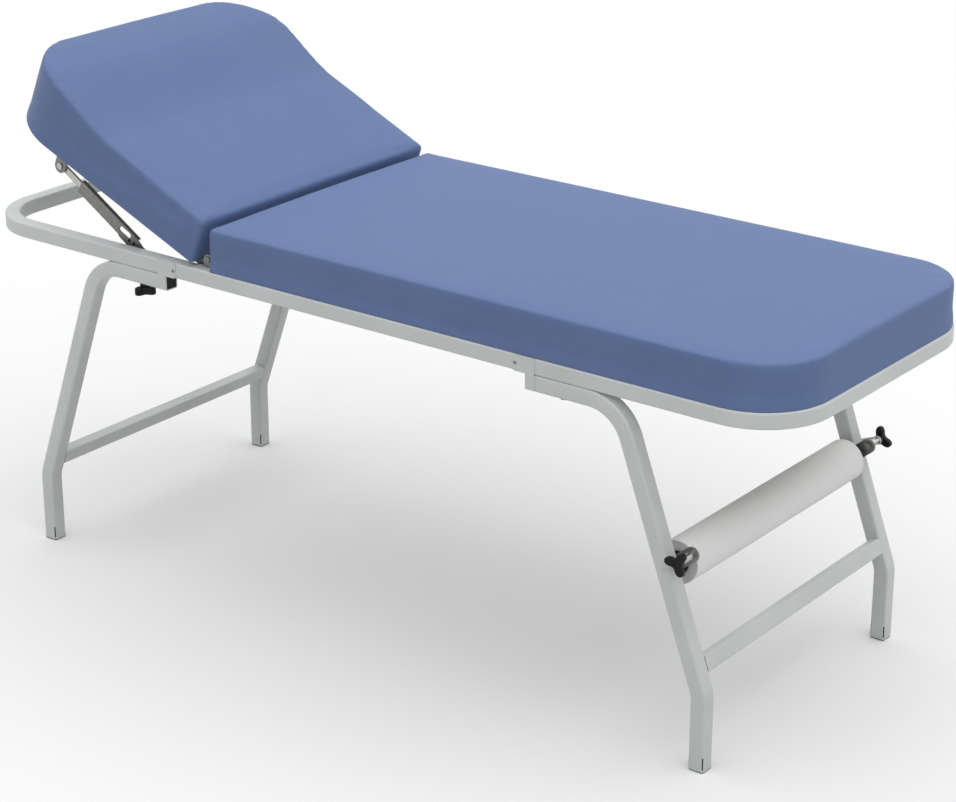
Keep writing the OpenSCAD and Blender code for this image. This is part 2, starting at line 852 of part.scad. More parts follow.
module stay_brackets() {
    color(zinc) difference() {
        side_plate(stay_out + 2, rail_in) {
            translate(stay_low) circle(r = stay_nose);
            translate([stay_low[0] - stay_nose, rail_under + 2]) {
                square([2 * stay_nose, stay_low[1] - rail_under - 2]);
            }
        }
        side_plate(0, rail_in + 1) translate(stay_low) circle(d = stay_pin + 2 * pin_fit);
    }
}

module stay_low_bolts() {
    web_in = stay_out - stay_sheet;
    color(bright_steel) for (side = [-1, 1]) {
        side_rod(stay_low, stay_pin / 2, web_in - turn_gap, rail_in - 0.5, side);
        side_rod(stay_low, stay_pin / 2 + rivet_rim, web_in - turn_gap - rivet_head, web_in - turn_gap, side);
        side_rod(stay_low, stay_pin / 2 + washer_wall, stay_out + turn_gap, stay_out + 2, side);
    }
}

// The outline of a stay's channel: narrow round the pivot, with its catch's plate standing out below it.
module channel_outline() {
    half = channel_height / 2;
    end = stay_channel_length;
    plate_y = catch_plate / 2 - half;
    circle(r = stay_nose);
    polygon([
        [0, 1 - stay_nose], [low_lead, -half], [end, -half],
        [end, half], [high_lead, half], [0, stay_nose - 1]
    ]);
    link(
        [low_lead + catch_plate, plate_y - catch_plate_hang[0]],
        [window_from + catch_plate_reach, plate_y - catch_plate_hang[1]],
        catch_plate
    );
}

// A folded channel that swings on the lower pivot.
module stay_channel(side) {
    web_in = stay_out - stay_sheet;
    half = channel_height / 2;
    color(zinc) difference() {
        union() {
            one_side_plate(web_in, stay_out, side) on_stay() channel_outline();
            one_side_plate(stay_out - channel_depth, stay_out, side) on_stay() {
                translate([low_lead, -half]) square([stay_channel_length - low_lead, stay_sheet]);
                translate([high_lead, half - stay_sheet]) {
                    square([stay_channel_length - high_lead, stay_sheet]);
                }
            }
        }
        one_side_plate(0, rail_in, side) on_stay() {
            circle(d = stay_pin + 2 * pin_fit);
            window_end = window_from + window_length - window_width / 2;
            link(
                [window_from + window_width / 2, window_rise[0]],
                [window_end, window_rise[1]],
                window_width
            );
            for (spot = catch_spots) translate(spot) circle(d = catch_rivet + 2 * pin_fit);
        }
    }
}

module stay_channel_near() {
    stay_channel(-1);
}

module stay_channel_far() {
    stay_channel(1);
}

// The blocks that catch the bars' notches, behind the channels' plates.
module stay_catches() {
    web_in = stay_out - stay_sheet;
    color(bright_steel) difference() {
        side_plate(stay_out - channel_depth + 1, web_in) on_stay() {
            link(catch_spots[0], catch_spots[1], catch_width);
        }
        side_plate(0, rail_in) on_stay() {
            for (spot = catch_spots) translate(spot) circle(d = catch_rivet + 2 * pin_fit);
        }
    }
}

module stay_catch_rivets() {
    color(black_plastic) for (side = [-1, 1]) {
        one_side_plate(stay_out - channel_depth + 1, stay_out + 1, side) on_stay() {
            for (spot = catch_spots) translate(spot) circle(d = catch_rivet);
        }
        one_side_plate(stay_out, stay_out + 1, side) on_stay() {
            for (spot = catch_spots) translate(spot) circle(d = catch_rivet + 2);
        }
    }
}

// A flat bar with an eye at the upper pivot and notches for the catch.
module stay_bar(side) {
    reach = norm(stay_high_now - stay_low);
    bar_out = stay_out - stay_sheet - 0.5;
    notch_count = 5;
    notch_pitch = 14;
    notch_radius = 2.5;
    first_notch = 12;
    color(bright_steel) one_side_plate(bar_out - stay_bar_thick, bar_out, side) on_stay() difference() {
        union() {
            translate([reach, 0]) circle(r = stay_eye);
            translate([reach - stay_bar_length, -stay_bar_width / 2]) {
                square([stay_bar_length, stay_bar_width]);
            }
        }
        translate([reach, 0]) circle(d = stay_pin + 2 * pin_fit);
        for (i = [0:notch_count - 1]) {
            translate([reach - stay_bar_length + first_notch + i * notch_pitch, -stay_bar_width / 2]) {
                circle(r = notch_radius);
            }
        }
    }
}

module stay_bar_near() {
    stay_bar(-1);
}

module stay_bar_far() {
    stay_bar(1);
}

module stay_lugs() {
    lug_in = stay_out - stay_sheet + turn_gap;
    lug_out = lug_in + lug_thick;
    lug_radius = stay_eye + lug_rim;
    flange_width = lug_flange + 4;
    flange_y = lug_out - flange_width / 2;
    color(zinc) tilted() difference() {
        union() {
            side_plate(lug_in, lug_out) {
                translate(stay_high) circle(r = lug_radius);
                translate([stay_high[0] - lug_radius, stay_high[1]]) {
                    square([2 * lug_radius, stay_high_drop]);
                }
            }
            for (side = [-1, 1]) translate([stay_high[0], side * flange_y, head_under - flange_thick / 2]) {
                cube([lug_flange_length, flange_width, flange_thick], center = true);
            }
        }
        side_plate(0, rail_in) translate(stay_high) circle(d = stay_pin + 2 * pin_fit);
        translate([head_near, 0, 0]) mirror([1, 0, 0]) screw_holes();
    }
}

module stay_high_bolts() {
    lug_out = stay_out - stay_sheet + turn_gap + lug_thick;
    bar_in = stay_out - stay_sheet - 0.5 - stay_bar_thick;
    color(bright_steel) tilted() for (side = [-1, 1]) {
        side_rod(stay_high, stay_pin / 2, bar_in - turn_gap, lug_out, side);
        side_rod(stay_high, stay_pin / 2 + rivet_rim, bar_in - turn_gap - rivet_head, bar_in - turn_gap, side);
        side_rod(stay_high, stay_pin / 2 + rivet_rim, lug_out, lug_out + rivet_head, side);
    }
}

// Knobs

// Three lobes round a hub, the first lobe pointing along x.
module lobes(reach) {
    lobe = reach * 0.3;
    circle(d = knob_hub + 8);
    for (turn = [0:120:240]) {
        rotate(turn) {
            translate([reach - lobe, 0]) circle(r = lobe);
            polygon([[0, -lobe - 3], [reach - lobe, -lobe], [reach - lobe, lobe], [0, lobe + 3]]);
        }
    }
}

module leg_knob(side) {
    top = run_under - turn_gap;
    color(black_plastic) translate([-leg_knob_at, side * rail_y, 0]) difference() {
        union() {
            translate([0, 0, top - leg_knob_hub]) cylinder(r = knob_hub / 2 + hub_rim, h = leg_knob_hub);
            translate([0, 0, top - leg_knob_hub - leg_knob_thick]) rotate(leg_knob_turn) {
                linear_extrude(leg_knob_thick) lobes(leg_knob_reach);
            }
        }
        translate([0, 0, top - knob_stud_depth]) cylinder(d = stud, h = knob_stud_depth + 1);
    }
}

module leg_knob_near() {
    leg_knob(-1);
}

module leg_knob_far() {
    leg_knob(1);
}

module leg_knob_stud(side) {
    inside = knob_stud_depth + turn_gap;
    color(bright_steel) translate([-leg_knob_at, side * rail_y, run_under - inside]) {
        cylinder(d = stud, h = inside + tube + tube_wall + nut_height + screw_out);
    }
}

module leg_knob_stud_near() {
    leg_knob_stud(-1);
}

module leg_knob_stud_far() {
    leg_knob_stud(1);
}

// Paper roll and its clamps

module roll_arms() {
    color(zinc) difference() {
        side_plate(rail_in - plate_thick, rail_in) link([roll_at, roll_height], stud_place, plate_width);
        side_plate(0, rail_in + 1) {
            translate([roll_at, roll_height]) circle(d = rod_diameter + 2 * pin_fit);
            translate(stud_place) circle(d = stud + 2 * pin_fit);
        }
    }
}

module roll_jaws() {
    face = frame_width / 2;
    grip = [slope_x(roll_height + stud_up / 2) + 4, roll_height + stud_up / 2];
    color(paint) difference() {
        side_plate(face, face + plate_thick) link(grip, stud_place, jaw_width);
        side_plate(rail_in, frame_width) translate(stud_place) circle(d = stud + 2 * bolt_fit);
    }
}

module roll_spacers() {
    color(bright_steel) difference() {
        side_plate(rail_in, frame_width / 2) translate(stud_place) circle(d = stud + 6);
        side_plate(0, frame_width) translate(stud_place) circle(d = stud + 2 * bolt_fit);
    }
}

module roll_clamp_bolts() {
    arm_in = rail_in - plate_thick;
    tip = frame_width / 2 + plate_thick + roll_knob_thick;
    color(zinc) for (side = [-1, 1]) {
        side_rod(stud_place, stud / 2, arm_in, tip, side);
        side_rod(stud_place, stud / 2 + 3, arm_in - bolt_head_thick, arm_in, side);
    }
}

module roll_rod() {
    color(bright_steel) translate([roll_at, rail_in - loose_fit, roll_height]) rotate([90, 0, 0]) {
        cylinder(d = rod_diameter, h = 2 * (rail_in - loose_fit));
    }
}

module rod_collars() {
    arm_in = rail_in - plate_thick;
    color(zinc) difference() {
        side_plate(arm_in - collar_length, arm_in) translate([roll_at, roll_height]) {
            circle(r = rod_diameter / 2 + collar_wall);
        }
        side_plate(0, rail_in) translate([roll_at, roll_height]) circle(d = rod_diameter + 2 * pin_fit);
    }
}

module roll_knob(side, turn) {
    inner = frame_width / 2 + plate_thick + turn_gap;
    lobes_in = inner + roll_knob_hub;
    color(black_plastic) difference() {
        union() {
            side_rod(stud_place, knob_hub / 2 + hub_rim, inner, lobes_in, side);
            one_side_plate(lobes_in, lobes_in + roll_knob_thick, side) {
                translate(stud_place) rotate(turn) lobes(roll_knob_reach);
            }
        }
        side_rod(stud_place, stud / 2 + pin_fit, rail_in, inner + roll_knob_thick, side);
    }
}

module roll_knob_near() {
    roll_knob(-1, near_knob_turn);
}

module roll_knob_far() {
    roll_knob(1, far_knob_turn);
}

// A hollow cylinder about the roll's axis.
module on_roll(outer, inner, length) {
    translate([roll_at, length / 2, roll_height]) rotate([90, 0, 0]) difference() {
        cylinder(d = outer, h = length, $fn = 96);
        translate([0, 0, -1]) cylinder(d = inner, h = length + 2, $fn = 96);
    }
}

module paper_roll() {
    color(paper) on_roll(roll_diameter, core_diameter, roll_length);
}

module roll_core() {
    color(card) on_roll(core_diameter, core_diameter - 2 * core_wall, roll_length);
}

// Flanged bushes in both ends of the core, which turn on the rod.
module roll_bushes() {
    roll_out = roll_length / 2;
    collar_in = rail_in - plate_thick - collar_length;
    middle = [roll_at, roll_height];
    color(black_plastic) difference() {
        union() {
            side_plate(roll_out - bush_plug, roll_out) translate(middle) {
                circle(d = core_diameter - 2 * core_wall);
            }
            side_plate(roll_out, roll_out + bush_flange) translate(middle) circle(d = core_diameter - 1);
            side_plate(roll_out, collar_in - turn_gap) translate(middle) {
                circle(r = rod_diameter / 2 + bush_wall);
            }
        }
        side_plate(0, rail_in) translate(middle) circle(d = rod_diameter + 2 * pin_fit);
    }
}

rail_near();
rail_far();
head_bow();
foot_bow();
hinge_cross_tube();
cross_tubes();
head_leg_near();
head_leg_far();
head_crossbar();
foot_leg_near();
foot_leg_far();
foot_crossbar();
foot_plugs();
run_caps();
leg_tabs();
tab_screws();
foot_leg_bolts();
rail_nuts();
foot_board();
foot_cushion();
foot_board_screws();
hinge_ears();
hinge_pins();
hinge_straps();
head_board();
head_cushion();
head_board_screws();
stay_brackets();
stay_low_bolts();
stay_channel_near();
stay_channel_far();
stay_catches();
stay_catch_rivets();
stay_bar_near();
stay_bar_far();
stay_lugs();
stay_high_bolts();
leg_knob_near();
leg_knob_far();
leg_knob_stud_near();
leg_knob_stud_far();
roll_arms();
roll_jaws();
roll_spacers();
roll_clamp_bolts();
roll_rod();
rod_collars();
roll_knob_near();
roll_knob_far();
paper_roll();
roll_core();
roll_bushes();
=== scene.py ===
import json
import math
import random
import bmesh
import bpy
from mathutils import Matrix, Vector


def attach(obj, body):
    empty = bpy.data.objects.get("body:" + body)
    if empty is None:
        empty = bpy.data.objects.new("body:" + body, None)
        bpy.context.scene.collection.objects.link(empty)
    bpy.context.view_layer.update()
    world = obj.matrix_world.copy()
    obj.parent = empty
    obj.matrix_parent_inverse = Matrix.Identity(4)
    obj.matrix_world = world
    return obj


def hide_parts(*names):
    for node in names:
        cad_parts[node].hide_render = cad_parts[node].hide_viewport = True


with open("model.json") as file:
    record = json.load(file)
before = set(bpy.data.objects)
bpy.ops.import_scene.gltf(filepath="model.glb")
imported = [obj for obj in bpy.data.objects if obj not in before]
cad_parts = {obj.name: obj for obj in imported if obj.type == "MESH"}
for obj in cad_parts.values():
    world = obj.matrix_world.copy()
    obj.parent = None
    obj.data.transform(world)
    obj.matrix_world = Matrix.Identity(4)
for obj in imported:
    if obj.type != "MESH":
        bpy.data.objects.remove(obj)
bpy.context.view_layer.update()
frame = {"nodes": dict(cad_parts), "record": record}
nodes = frame["nodes"]
print("frame loaded", len(nodes), "nodes")

mm = 0.001
hinge = {"x": -327, "z": 685, "tilt": 23}  # where the head section turns, and how far it stands up at rest


def linear(code):
    parts = [int(code[i:i + 2], 16) / 255 for i in (0, 2, 4)]
    return tuple(p / 12.92 if p <= 0.04045 else ((p + 0.055) / 1.055) ** 2.4 for p in parts) + (1.0,)


# Adds a node, sets its fields and sockets, links what it takes in and gives back one of its outputs.
def addNode(tree, kind, settings=None, links=None, give=0):
    node = tree.nodes.new(kind)
    for name, value in (settings or {}).items():
        if isinstance(name, int) or name in node.inputs:
            node.inputs[name].default_value = value
        else:
            setattr(node, name, value)
    for name, source in (links or {}).items():
        tree.links.new(source, node.inputs[name])
    return node.outputs[give] if len(node.outputs) else None


def newMaterial(name):
    material = bpy.data.materials.new(name)
    material.use_nodes = True
    tree = material.node_tree
    tree.nodes.clear()
    return material, tree, addNode(tree, "ShaderNodeTexCoord", {}, {}, "Object")


# Closes a material with its shader: plain values in the settings, patterns in the sources.
def finishMaterial(material, settings, sources):
    tree = material.node_tree
    skin = addNode(tree, "ShaderNodeBsdfPrincipled", settings, sources, "BSDF")
    addNode(tree, "ShaderNodeOutputMaterial", {}, {"Surface": skin})
    return material


# The rounded normal of a sharp edge, and a mask that is 1 on the edge itself.
def softEdge(tree, radius):
    rounded = addNode(tree, "ShaderNodeBevel", {"samples": 4, "Radius": radius})
    plain = addNode(tree, "ShaderNodeNewGeometry", {}, {}, "Normal")
    near = addNode(tree, "ShaderNodeVectorMath", {"operation": "DOT_PRODUCT"}, {
        0: rounded, 1: plain}, "Value")
    mask = addNode(tree, "ShaderNodeMapRange", {"From Min": 0.985, "From Max": 0.86}, {"Value": near})
    return rounded, mask


def powderCoat():
    # Baked powder coat on steel tube: a fine orange-peel skin with a soft sheen, and a painted highlight that
    # makes it paler at the edges.
    material, tree, place = newMaterial("powder_coated_steel")
    rounded, edge = softEdge(tree, 0.8 * mm)
    cloud = addNode(tree, "ShaderNodeTexNoise", {"Scale": 5.0, "Detail": 3.0}, {"Vector": place})
    cloud = addNode(tree, "ShaderNodeMapRange", {"From Min": 0.35, "From Max": 0.65}, {"Value": cloud})
    speck = addNode(tree, "ShaderNodeTexNoise", {
        "Scale": 900.0, "Detail": 1.0}, {"Vector": place})  # specks of 1 mm
    speck = addNode(tree, "ShaderNodeMapRange", {
        "From Min": 0.62, "From Max": 0.75, "To Max": 0.25}, {"Value": speck})
    body = addNode(tree, "ShaderNodeMix", {
        "data_type": "RGBA", 6: linear("D9DCDC"), 7: linear("D1D4D4")}, {0: cloud}, 2)
    body = addNode(tree, "ShaderNodeMix", {
        "data_type": "RGBA", 7: linear("BCC0C0")}, {0: speck, 6: body}, 2)
    # Painted highlight: the colour is lifted towards near white along the edges.
    body = addNode(tree, "ShaderNodeMix", {
        "data_type": "RGBA", 7: linear("EEF0F0")}, {0: edge, 6: body}, 2)
    rough = addNode(tree, "ShaderNodeMapRange", {"To Min": 0.34, "To Max": 0.44}, {"Value": cloud})
    peel = addNode(tree, "ShaderNodeTexNoise", {"Scale": 420.0}, {"Vector": place})  # ripples of 2 to 3 mm
    bump = addNode(tree, "ShaderNodeBump", {
        "Strength": 0.1, "Distance": 0.25 * mm}, {"Height": peel, "Normal": rounded})
    return finishMaterial(material, {
        "Specular IOR Level": 0.5, "Coat Weight": 0.12, "Coat Roughness": 0.25,
    }, {"Base Color": body, "Roughness": rough, "Normal": bump})


def zincPlate():
    # Zinc-plated sheet: dull grey metal with faint crystal patches of 4 mm and rolling marks.
    material, tree, place = newMaterial("zinc_plated_sheet_steel")
    rounded, edge = softEdge(tree, 0.4 * mm)
    flake = addNode(tree, "ShaderNodeTexVoronoi", {"Scale": 260.0}, {"Vector": place}, "Color")
    grey = addNode(tree, "ShaderNodeRGBToBW", {}, {"Color": flake})
    body = addNode(tree, "ShaderNodeMix", {
        "data_type": "RGBA", 6: linear("727270"), 7: linear("888885")}, {0: grey}, 2)
    # Painted highlight: the colour is paler along the edges.
    body = addNode(tree, "ShaderNodeMix", {
        "data_type": "RGBA", 7: linear("ACACA9")}, {0: edge, 6: body}, 2)
    along = addNode(tree, "ShaderNodeMapping", {"Scale": (60, 900, 900)}, {"Vector": place})
    marks = addNode(tree, "ShaderNodeTexNoise", {"Scale": 1.0, "Detail": 3.0}, {"Vector": along})
    rough = addNode(tree, "ShaderNodeMapRange", {
        "From Min": 0.3, "From Max": 0.7, "To Min": 0.3, "To Max": 0.5}, {"Value": marks})
    bump = addNode(tree, "ShaderNodeBump", {
        "Strength": 0.12, "Distance": 0.08 * mm}, {"Height": marks, "Normal": rounded})
    return finishMaterial(material, {"Metallic": 1.0}, {
        "Base Color": body, "Roughness": rough, "Normal": bump})


def brightSteel():
    # Drawn steel with bright plating: shiny, with fine drawing lines along its length.
    material, tree, place = newMaterial("bright_plated_steel")
    rounded, edge = softEdge(tree, 0.4 * mm)
    along = addNode(tree, "ShaderNodeMapping", {"Scale": (40, 1600, 1600)}, {"Vector": place})
    lines = addNode(tree, "ShaderNodeTexNoise", {"Scale": 1.0}, {"Vector": along})
    body = addNode(tree, "ShaderNodeMix", {
        "data_type": "RGBA", 6: linear("AAAAA8"), 7: linear("BEBEBC")}, {0: lines}, 2)
    # Painted highlight: the colour is paler along the edges.
    body = addNode(tree, "ShaderNodeMix", {
        "data_type": "RGBA", 7: linear("D6D6D4")}, {0: edge, 6: body}, 2)
    rough = addNode(tree, "ShaderNodeMapRange", {
        "From Min": 0.3, "From Max": 0.7, "To Min": 0.18, "To Max": 0.32}, {"Value": lines})
    bump = addNode(tree, "ShaderNodeBump", {
        "Strength": 0.08, "Distance": 0.05 * mm}, {"Height": lines, "Normal": rounded})
    return finishMaterial(material, {"Metallic": 1.0}, {
        "Base Color": body, "Roughness": rough, "Normal": bump})


def mouldedPlastic():
    # Black plastic from an eroded mould: a fine matt grain, polished by hands along the edges, where a
    # painted highlight also lightens the colour.
    material, tree, place = newMaterial("moulded_black_plastic")
    rounded, edge = softEdge(tree, 0.7 * mm)
    tone = addNode(tree, "ShaderNodeTexNoise", {"Scale": 60.0, "Detail": 3.0}, {"Vector": place})
    body = addNode(tree, "ShaderNodeMix", {
        "data_type": "RGBA", 6: linear("060606"), 7: linear("0C0C0D")}, {0: tone}, 2)
    # Painted highlight: the colour is lighter along the edges; the polish itself is the lower roughness
    # below.
    body = addNode(tree, "ShaderNodeMix", {
        "data_type": "RGBA", 7: linear("1C1C1D")}, {0: edge, 6: body}, 2)
    rough = addNode(tree, "ShaderNodeMapRange", {"To Min": 0.5, "To Max": 0.34}, {"Value": edge})
    grain = addNode(tree, "ShaderNodeTexVoronoi", {
        "Scale": 1500.0}, {"Vector": place}, "Distance")  # grain of 0.7 mm
    bump = addNode(tree, "ShaderNodeBump", {
        "Strength": 0.18, "Distance": 0.12 * mm}, {"Height": grain, "Normal": rounded})
    return finishMaterial(material, {"Specular IOR Level": 0.22}, {
        "Base Color": body, "Roughness": rough, "Normal": bump})


def coatedCloth():
    # Polyurethane-coated upholstery cloth: a pressed leather grain of 1.3 mm, satin, a little uneven in tone,
    # with painted shade in the grain's creases.
    material, tree, place = newMaterial("coated_upholstery_cloth")
    drift = addNode(tree, "ShaderNodeTexNoise", {"Scale": 300.0, "Detail": 1.0}, {"Vector": place}, "Color")
    bent = addNode(tree, "ShaderNodeVectorMath", {
        "operation": "MULTIPLY_ADD", 1: (1.2 * mm, 1.2 * mm, 1.2 * mm)}, {0: drift, 2: place})
    cells = addNode(tree, "ShaderNodeTexVoronoi", {"feature": "DISTANCE_TO_EDGE", "Scale": 760.0}, {
        "Vector": bent}, "Distance")
    crease = addNode(tree, "ShaderNodeMapRange", {"From Max": 0.16}, {"Value": cells})
    cloud = addNode(tree, "ShaderNodeTexNoise", {
        "Scale": 9.0, "Detail": 4.0, "Roughness": 0.6}, {"Vector": place})
    cloud = addNode(tree, "ShaderNodeMapRange", {"From Min": 0.3, "From Max": 0.7}, {"Value": cloud})
    body = addNode(tree, "ShaderNodeMix", {
        "data_type": "RGBA", 6: linear("657AA6"), 7: linear("6A80AB")}, {0: cloud}, 2)
    # Painted shade: the grain's creases are darkened towards a deep blue.
    paintedCreaseShade = addNode(tree, "ShaderNodeMapRange", {"To Min": 0.15, "To Max": 0.0}, {"Value": crease})
    body = addNode(tree, "ShaderNodeMix", {
        "data_type": "RGBA", 7: linear("4A5C84")}, {0: paintedCreaseShade, 6: body}, 2)
    rough = addNode(tree, "ShaderNodeMapRange", {"To Min": 0.52, "To Max": 0.62}, {"Value": cloud})
    bump = addNode(tree, "ShaderNodeBump", {"Strength": 0.2, "Distance": 0.18 * mm}, {"Height": crease})
    return finishMaterial(material, {
        "Specular IOR Level": 0.2, "Sheen Weight": 0.03, "Sheen Roughness": 0.4,
    }, {"Base Color": body, "Roughness": rough, "Normal": bump})


def sealedPlywood(name, tilt):
    # Plywood under a thin grey sealing coat: the grain still shows through, and the plies stripe the edges.
    material, tree, place = newMaterial(name)
    across = Vector((math.sin(math.radians(tilt)), 0, math.cos(math.radians(tilt))))
    flat = addNode(tree, "ShaderNodeMapping", {"Rotation": (0, -math.radians(tilt), 0)}, {"Vector": place})
    long = addNode(tree, "ShaderNodeMapping", {"Scale": (9, 120, 60)}, {"Vector": flat})
    grain = addNode(tree, "ShaderNodeTexNoise", {
        "Scale": 1.0, "Detail": 5.0, "Roughness": 0.65}, {"Vector": long})
    plies = addNode(tree, "ShaderNodeTexWave", {
        "bands_direction": "Z", "Scale": 105.0}, {"Vector": flat}, "Fac")  # plies of 1.5 mm
    normal = addNode(tree, "ShaderNodeNewGeometry", {}, {}, "Normal")
    up = addNode(tree, "ShaderNodeVectorMath", {"operation": "DOT_PRODUCT", 1: across}, {0: normal}, "Value")
    up = addNode(tree, "ShaderNodeMath", {"operation": "ABSOLUTE"}, {0: up})
    side = addNode(tree, "ShaderNodeMapRange", {
        "From Min": 0.3, "From Max": 0.8, "To Min": 1.0, "To Max": 0.0}, {"Value": up})
    face = addNode(tree, "ShaderNodeMix", {
        "data_type": "RGBA", 6: linear("A3A19B"), 7: linear("BDBBB6")}, {0: grain}, 2)
    edge = addNode(tree, "ShaderNodeMix", {
        "data_type": "RGBA", 6: linear("8F8A80"), 7: linear("C2BFB7")}, {0: plies}, 2)
    body = addNode(tree, "ShaderNodeMix", {"data_type": "RGBA"}, {0: side, 6: face, 7: edge}, 2)
    rough = addNode(tree, "ShaderNodeMapRange", {
        "From Min": 0.2, "From Max": 0.8, "To Min": 0.55, "To Max": 0.7}, {"Value": grain})
    bump = addNode(tree, "ShaderNodeBump", {"Strength": 0.25, "Distance": 0.3 * mm}, {"Height": grain})
    return finishMaterial(material, {"Specular IOR Level": 0.3}, {
        "Base Color": body, "Roughness": rough, "Normal": bump})


def couchPaper():
    # Creped couch-roll paper: soft matt white with fine cross ridges that the winding presses flat, and
    # painted shade in the troughs of the crepe.
    material, tree, place = newMaterial("creped_couch_paper")
    long = addNode(tree, "ShaderNodeMapping", {"Scale": (900, 130, 900)}, {"Vector": place})
    crepe = addNode(tree, "ShaderNodeTexNoise", {
        "Scale": 1.0, "Detail": 3.0, "Roughness": 0.6}, {"Vector": long})
    cloud = addNode(tree, "ShaderNodeTexNoise", {"Scale": 14.0, "Detail": 3.0}, {"Vector": place})
    body = addNode(tree, "ShaderNodeMix", {
        "data_type": "RGBA", 6: linear("FEFEFD"), 7: linear("F8F9F8")}, {0: cloud}, 2)
    # Painted shade: the crepe's troughs are darkened to a light grey.
    paintedCreaseShade = addNode(tree, "ShaderNodeMapRange", {
        "From Min": 0.2, "From Max": 0.45, "To Min": 0.2, "To Max": 0.0}, {"Value": crepe})
    body = addNode(tree, "ShaderNodeMix", {
        "data_type": "RGBA", 7: linear("DDDFDE")}, {0: paintedCreaseShade, 6: body}, 2)
    rough = addNode(tree, "ShaderNodeMapRange", {
        "From Min": 0.3, "From Max": 0.7, "To Min": 0.7, "To Max": 0.85}, {"Value": crepe})
    bump = addNode(tree, "ShaderNodeBump", {"Strength": 0.25, "Distance": 0.2 * mm}, {"Height": crepe})
    return finishMaterial(material, {"Specular IOR Level": 0.2, "Sheen Weight": 0.1}, {
        "Base Color": body, "Roughness": rough, "Normal": bump})


def cardboard():
    # Wound cardboard: long pulp fibres and flecks, matt.
    material, tree, place = newMaterial("wound_cardboard")
    long = addNode(tree, "ShaderNodeMapping", {"Scale": (500, 60, 500)}, {"Vector": place})
    fibre = addNode(tree, "ShaderNodeTexNoise", {
        "Scale": 1.0, "Detail": 4.0, "Roughness": 0.6}, {"Vector": long})
    fleck = addNode(tree, "ShaderNodeTexNoise", {"Scale": 700.0, "Detail": 1.0}, {"Vector": place})
    fleck = addNode(tree, "ShaderNodeMapRange", {
        "From Min": 0.62, "From Max": 0.72, "To Max": 0.5}, {"Value": fleck})
    body = addNode(tree, "ShaderNodeMix", {
        "data_type": "RGBA", 6: linear("A3875F"), 7: linear("C2A67C")}, {0: fibre}, 2)
    body = addNode(tree, "ShaderNodeMix", {
        "data_type": "RGBA", 7: linear("7E6644")}, {0: fleck, 6: body}, 2)
    rough = addNode(tree, "ShaderNodeMapRange", {
        "From Min": 0.3, "From Max": 0.7, "To Min": 0.75, "To Max": 0.9}, {"Value": fibre})
    bump = addNode(tree, "ShaderNodeBump", {"Strength": 0.3, "Distance": 0.2 * mm}, {"Height": fibre})
    return finishMaterial(material, {"Specular IOR Level": 0.2}, {
        "Base Color": body, "Roughness": rough, "Normal": bump})


looks = {
    "paint": powderCoat(), "zinc": zincPlate(), "steel": brightSteel(), "black_plastic": mouldedPlastic(),
    "upholstery": coatedCloth(), "board": sealedPlywood("sealed_plywood_level", 0), "paper": couchPaper(),
    "card": cardboard(),
}
tiltedBoard = sealedPlywood("sealed_plywood_tilted", hinge["tilt"])

slotOf = {part["node"]: part["material_slot"] for part in frame["record"]["subparts"]}
for name, node in nodes.items():
    for holder in node.material_slots:
        holder.material = tiltedBoard if name == "head_board" else looks[slotOf[name]]
print("materials made and assigned")


# Edges sharper than the angle stay sharp, and the rest is shaded smooth.
def smoothOver(mesh, sharp):
    mesh.polygons.foreach_set("use_smooth", [True] * len(mesh.polygons))
    mesh.set_sharp_from_angle(angle=math.radians(sharp))
    mesh.update()


# Makes a piece from points in millimetres.
def addPiece(name, points, faces, materials, sharp=35, faceMaterials=None):
    mesh = bpy.data.meshes.new(name)
    mesh.from_pydata([tuple(c * mm for c in p) for p in points], [], faces)
    for material in materials:
        mesh.materials.append(material)
    if faceMaterials:
        mesh.polygons.foreach_set("material_index", faceMaterials)
    piece = bpy.data.objects.new(name, mesh)
    bpy.context.scene.collection.objects.link(piece)
    smoothOver(mesh, sharp)
    return piece


# Lets a finished piece ride on its body, in place of the CAD nodes that it replaces.
def settle(piece, body, slot, *replaced):
    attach(piece, body)
    if replaced:
        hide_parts(*replaced)


def bakeModifiers(piece):
    graph = bpy.context.evaluated_depsgraph_get()
    made = bpy.data.meshes.new_from_object(piece.evaluated_get(graph), depsgraph=graph)
    piece.modifiers.clear()
    old = piece.data
    piece.data = made
    bpy.data.meshes.remove(old)


# Quads between rings of one size that are laid one after another.
def bridge(count, size, offset=0):
    faces = []
    for k in range(count - 1):
        for i in range(size):
            a, b = offset + k * size + i, offset + k * size + (i + 1) % size
            faces.append((a, b, b + size, a + size))
    return faces


# Legs: swept square tube with smooth bends, slits at the foot's corners and a hole for the stud or bolt.
leg = {
    "tube": 30, "wall": 2, "edge": 4, "edgeSteps": 6, "reach": 796, "base": 1.5, "railY": 312.5, "lean": 20,
    "lowBend": 141.5, "lowRadius": 60, "lowSteps": 12, "highRadius": 85, "highSteps": 28,
    "runEnd": 418, "runZ": 625, "holeAt": 489, "hole": 4.3, "holeSides": 24,
    "slitWidth": 2.4, "slitFrom": 6, "slitHeight": 23, "slitReach": (11, 34), "cutPast": 20,
}


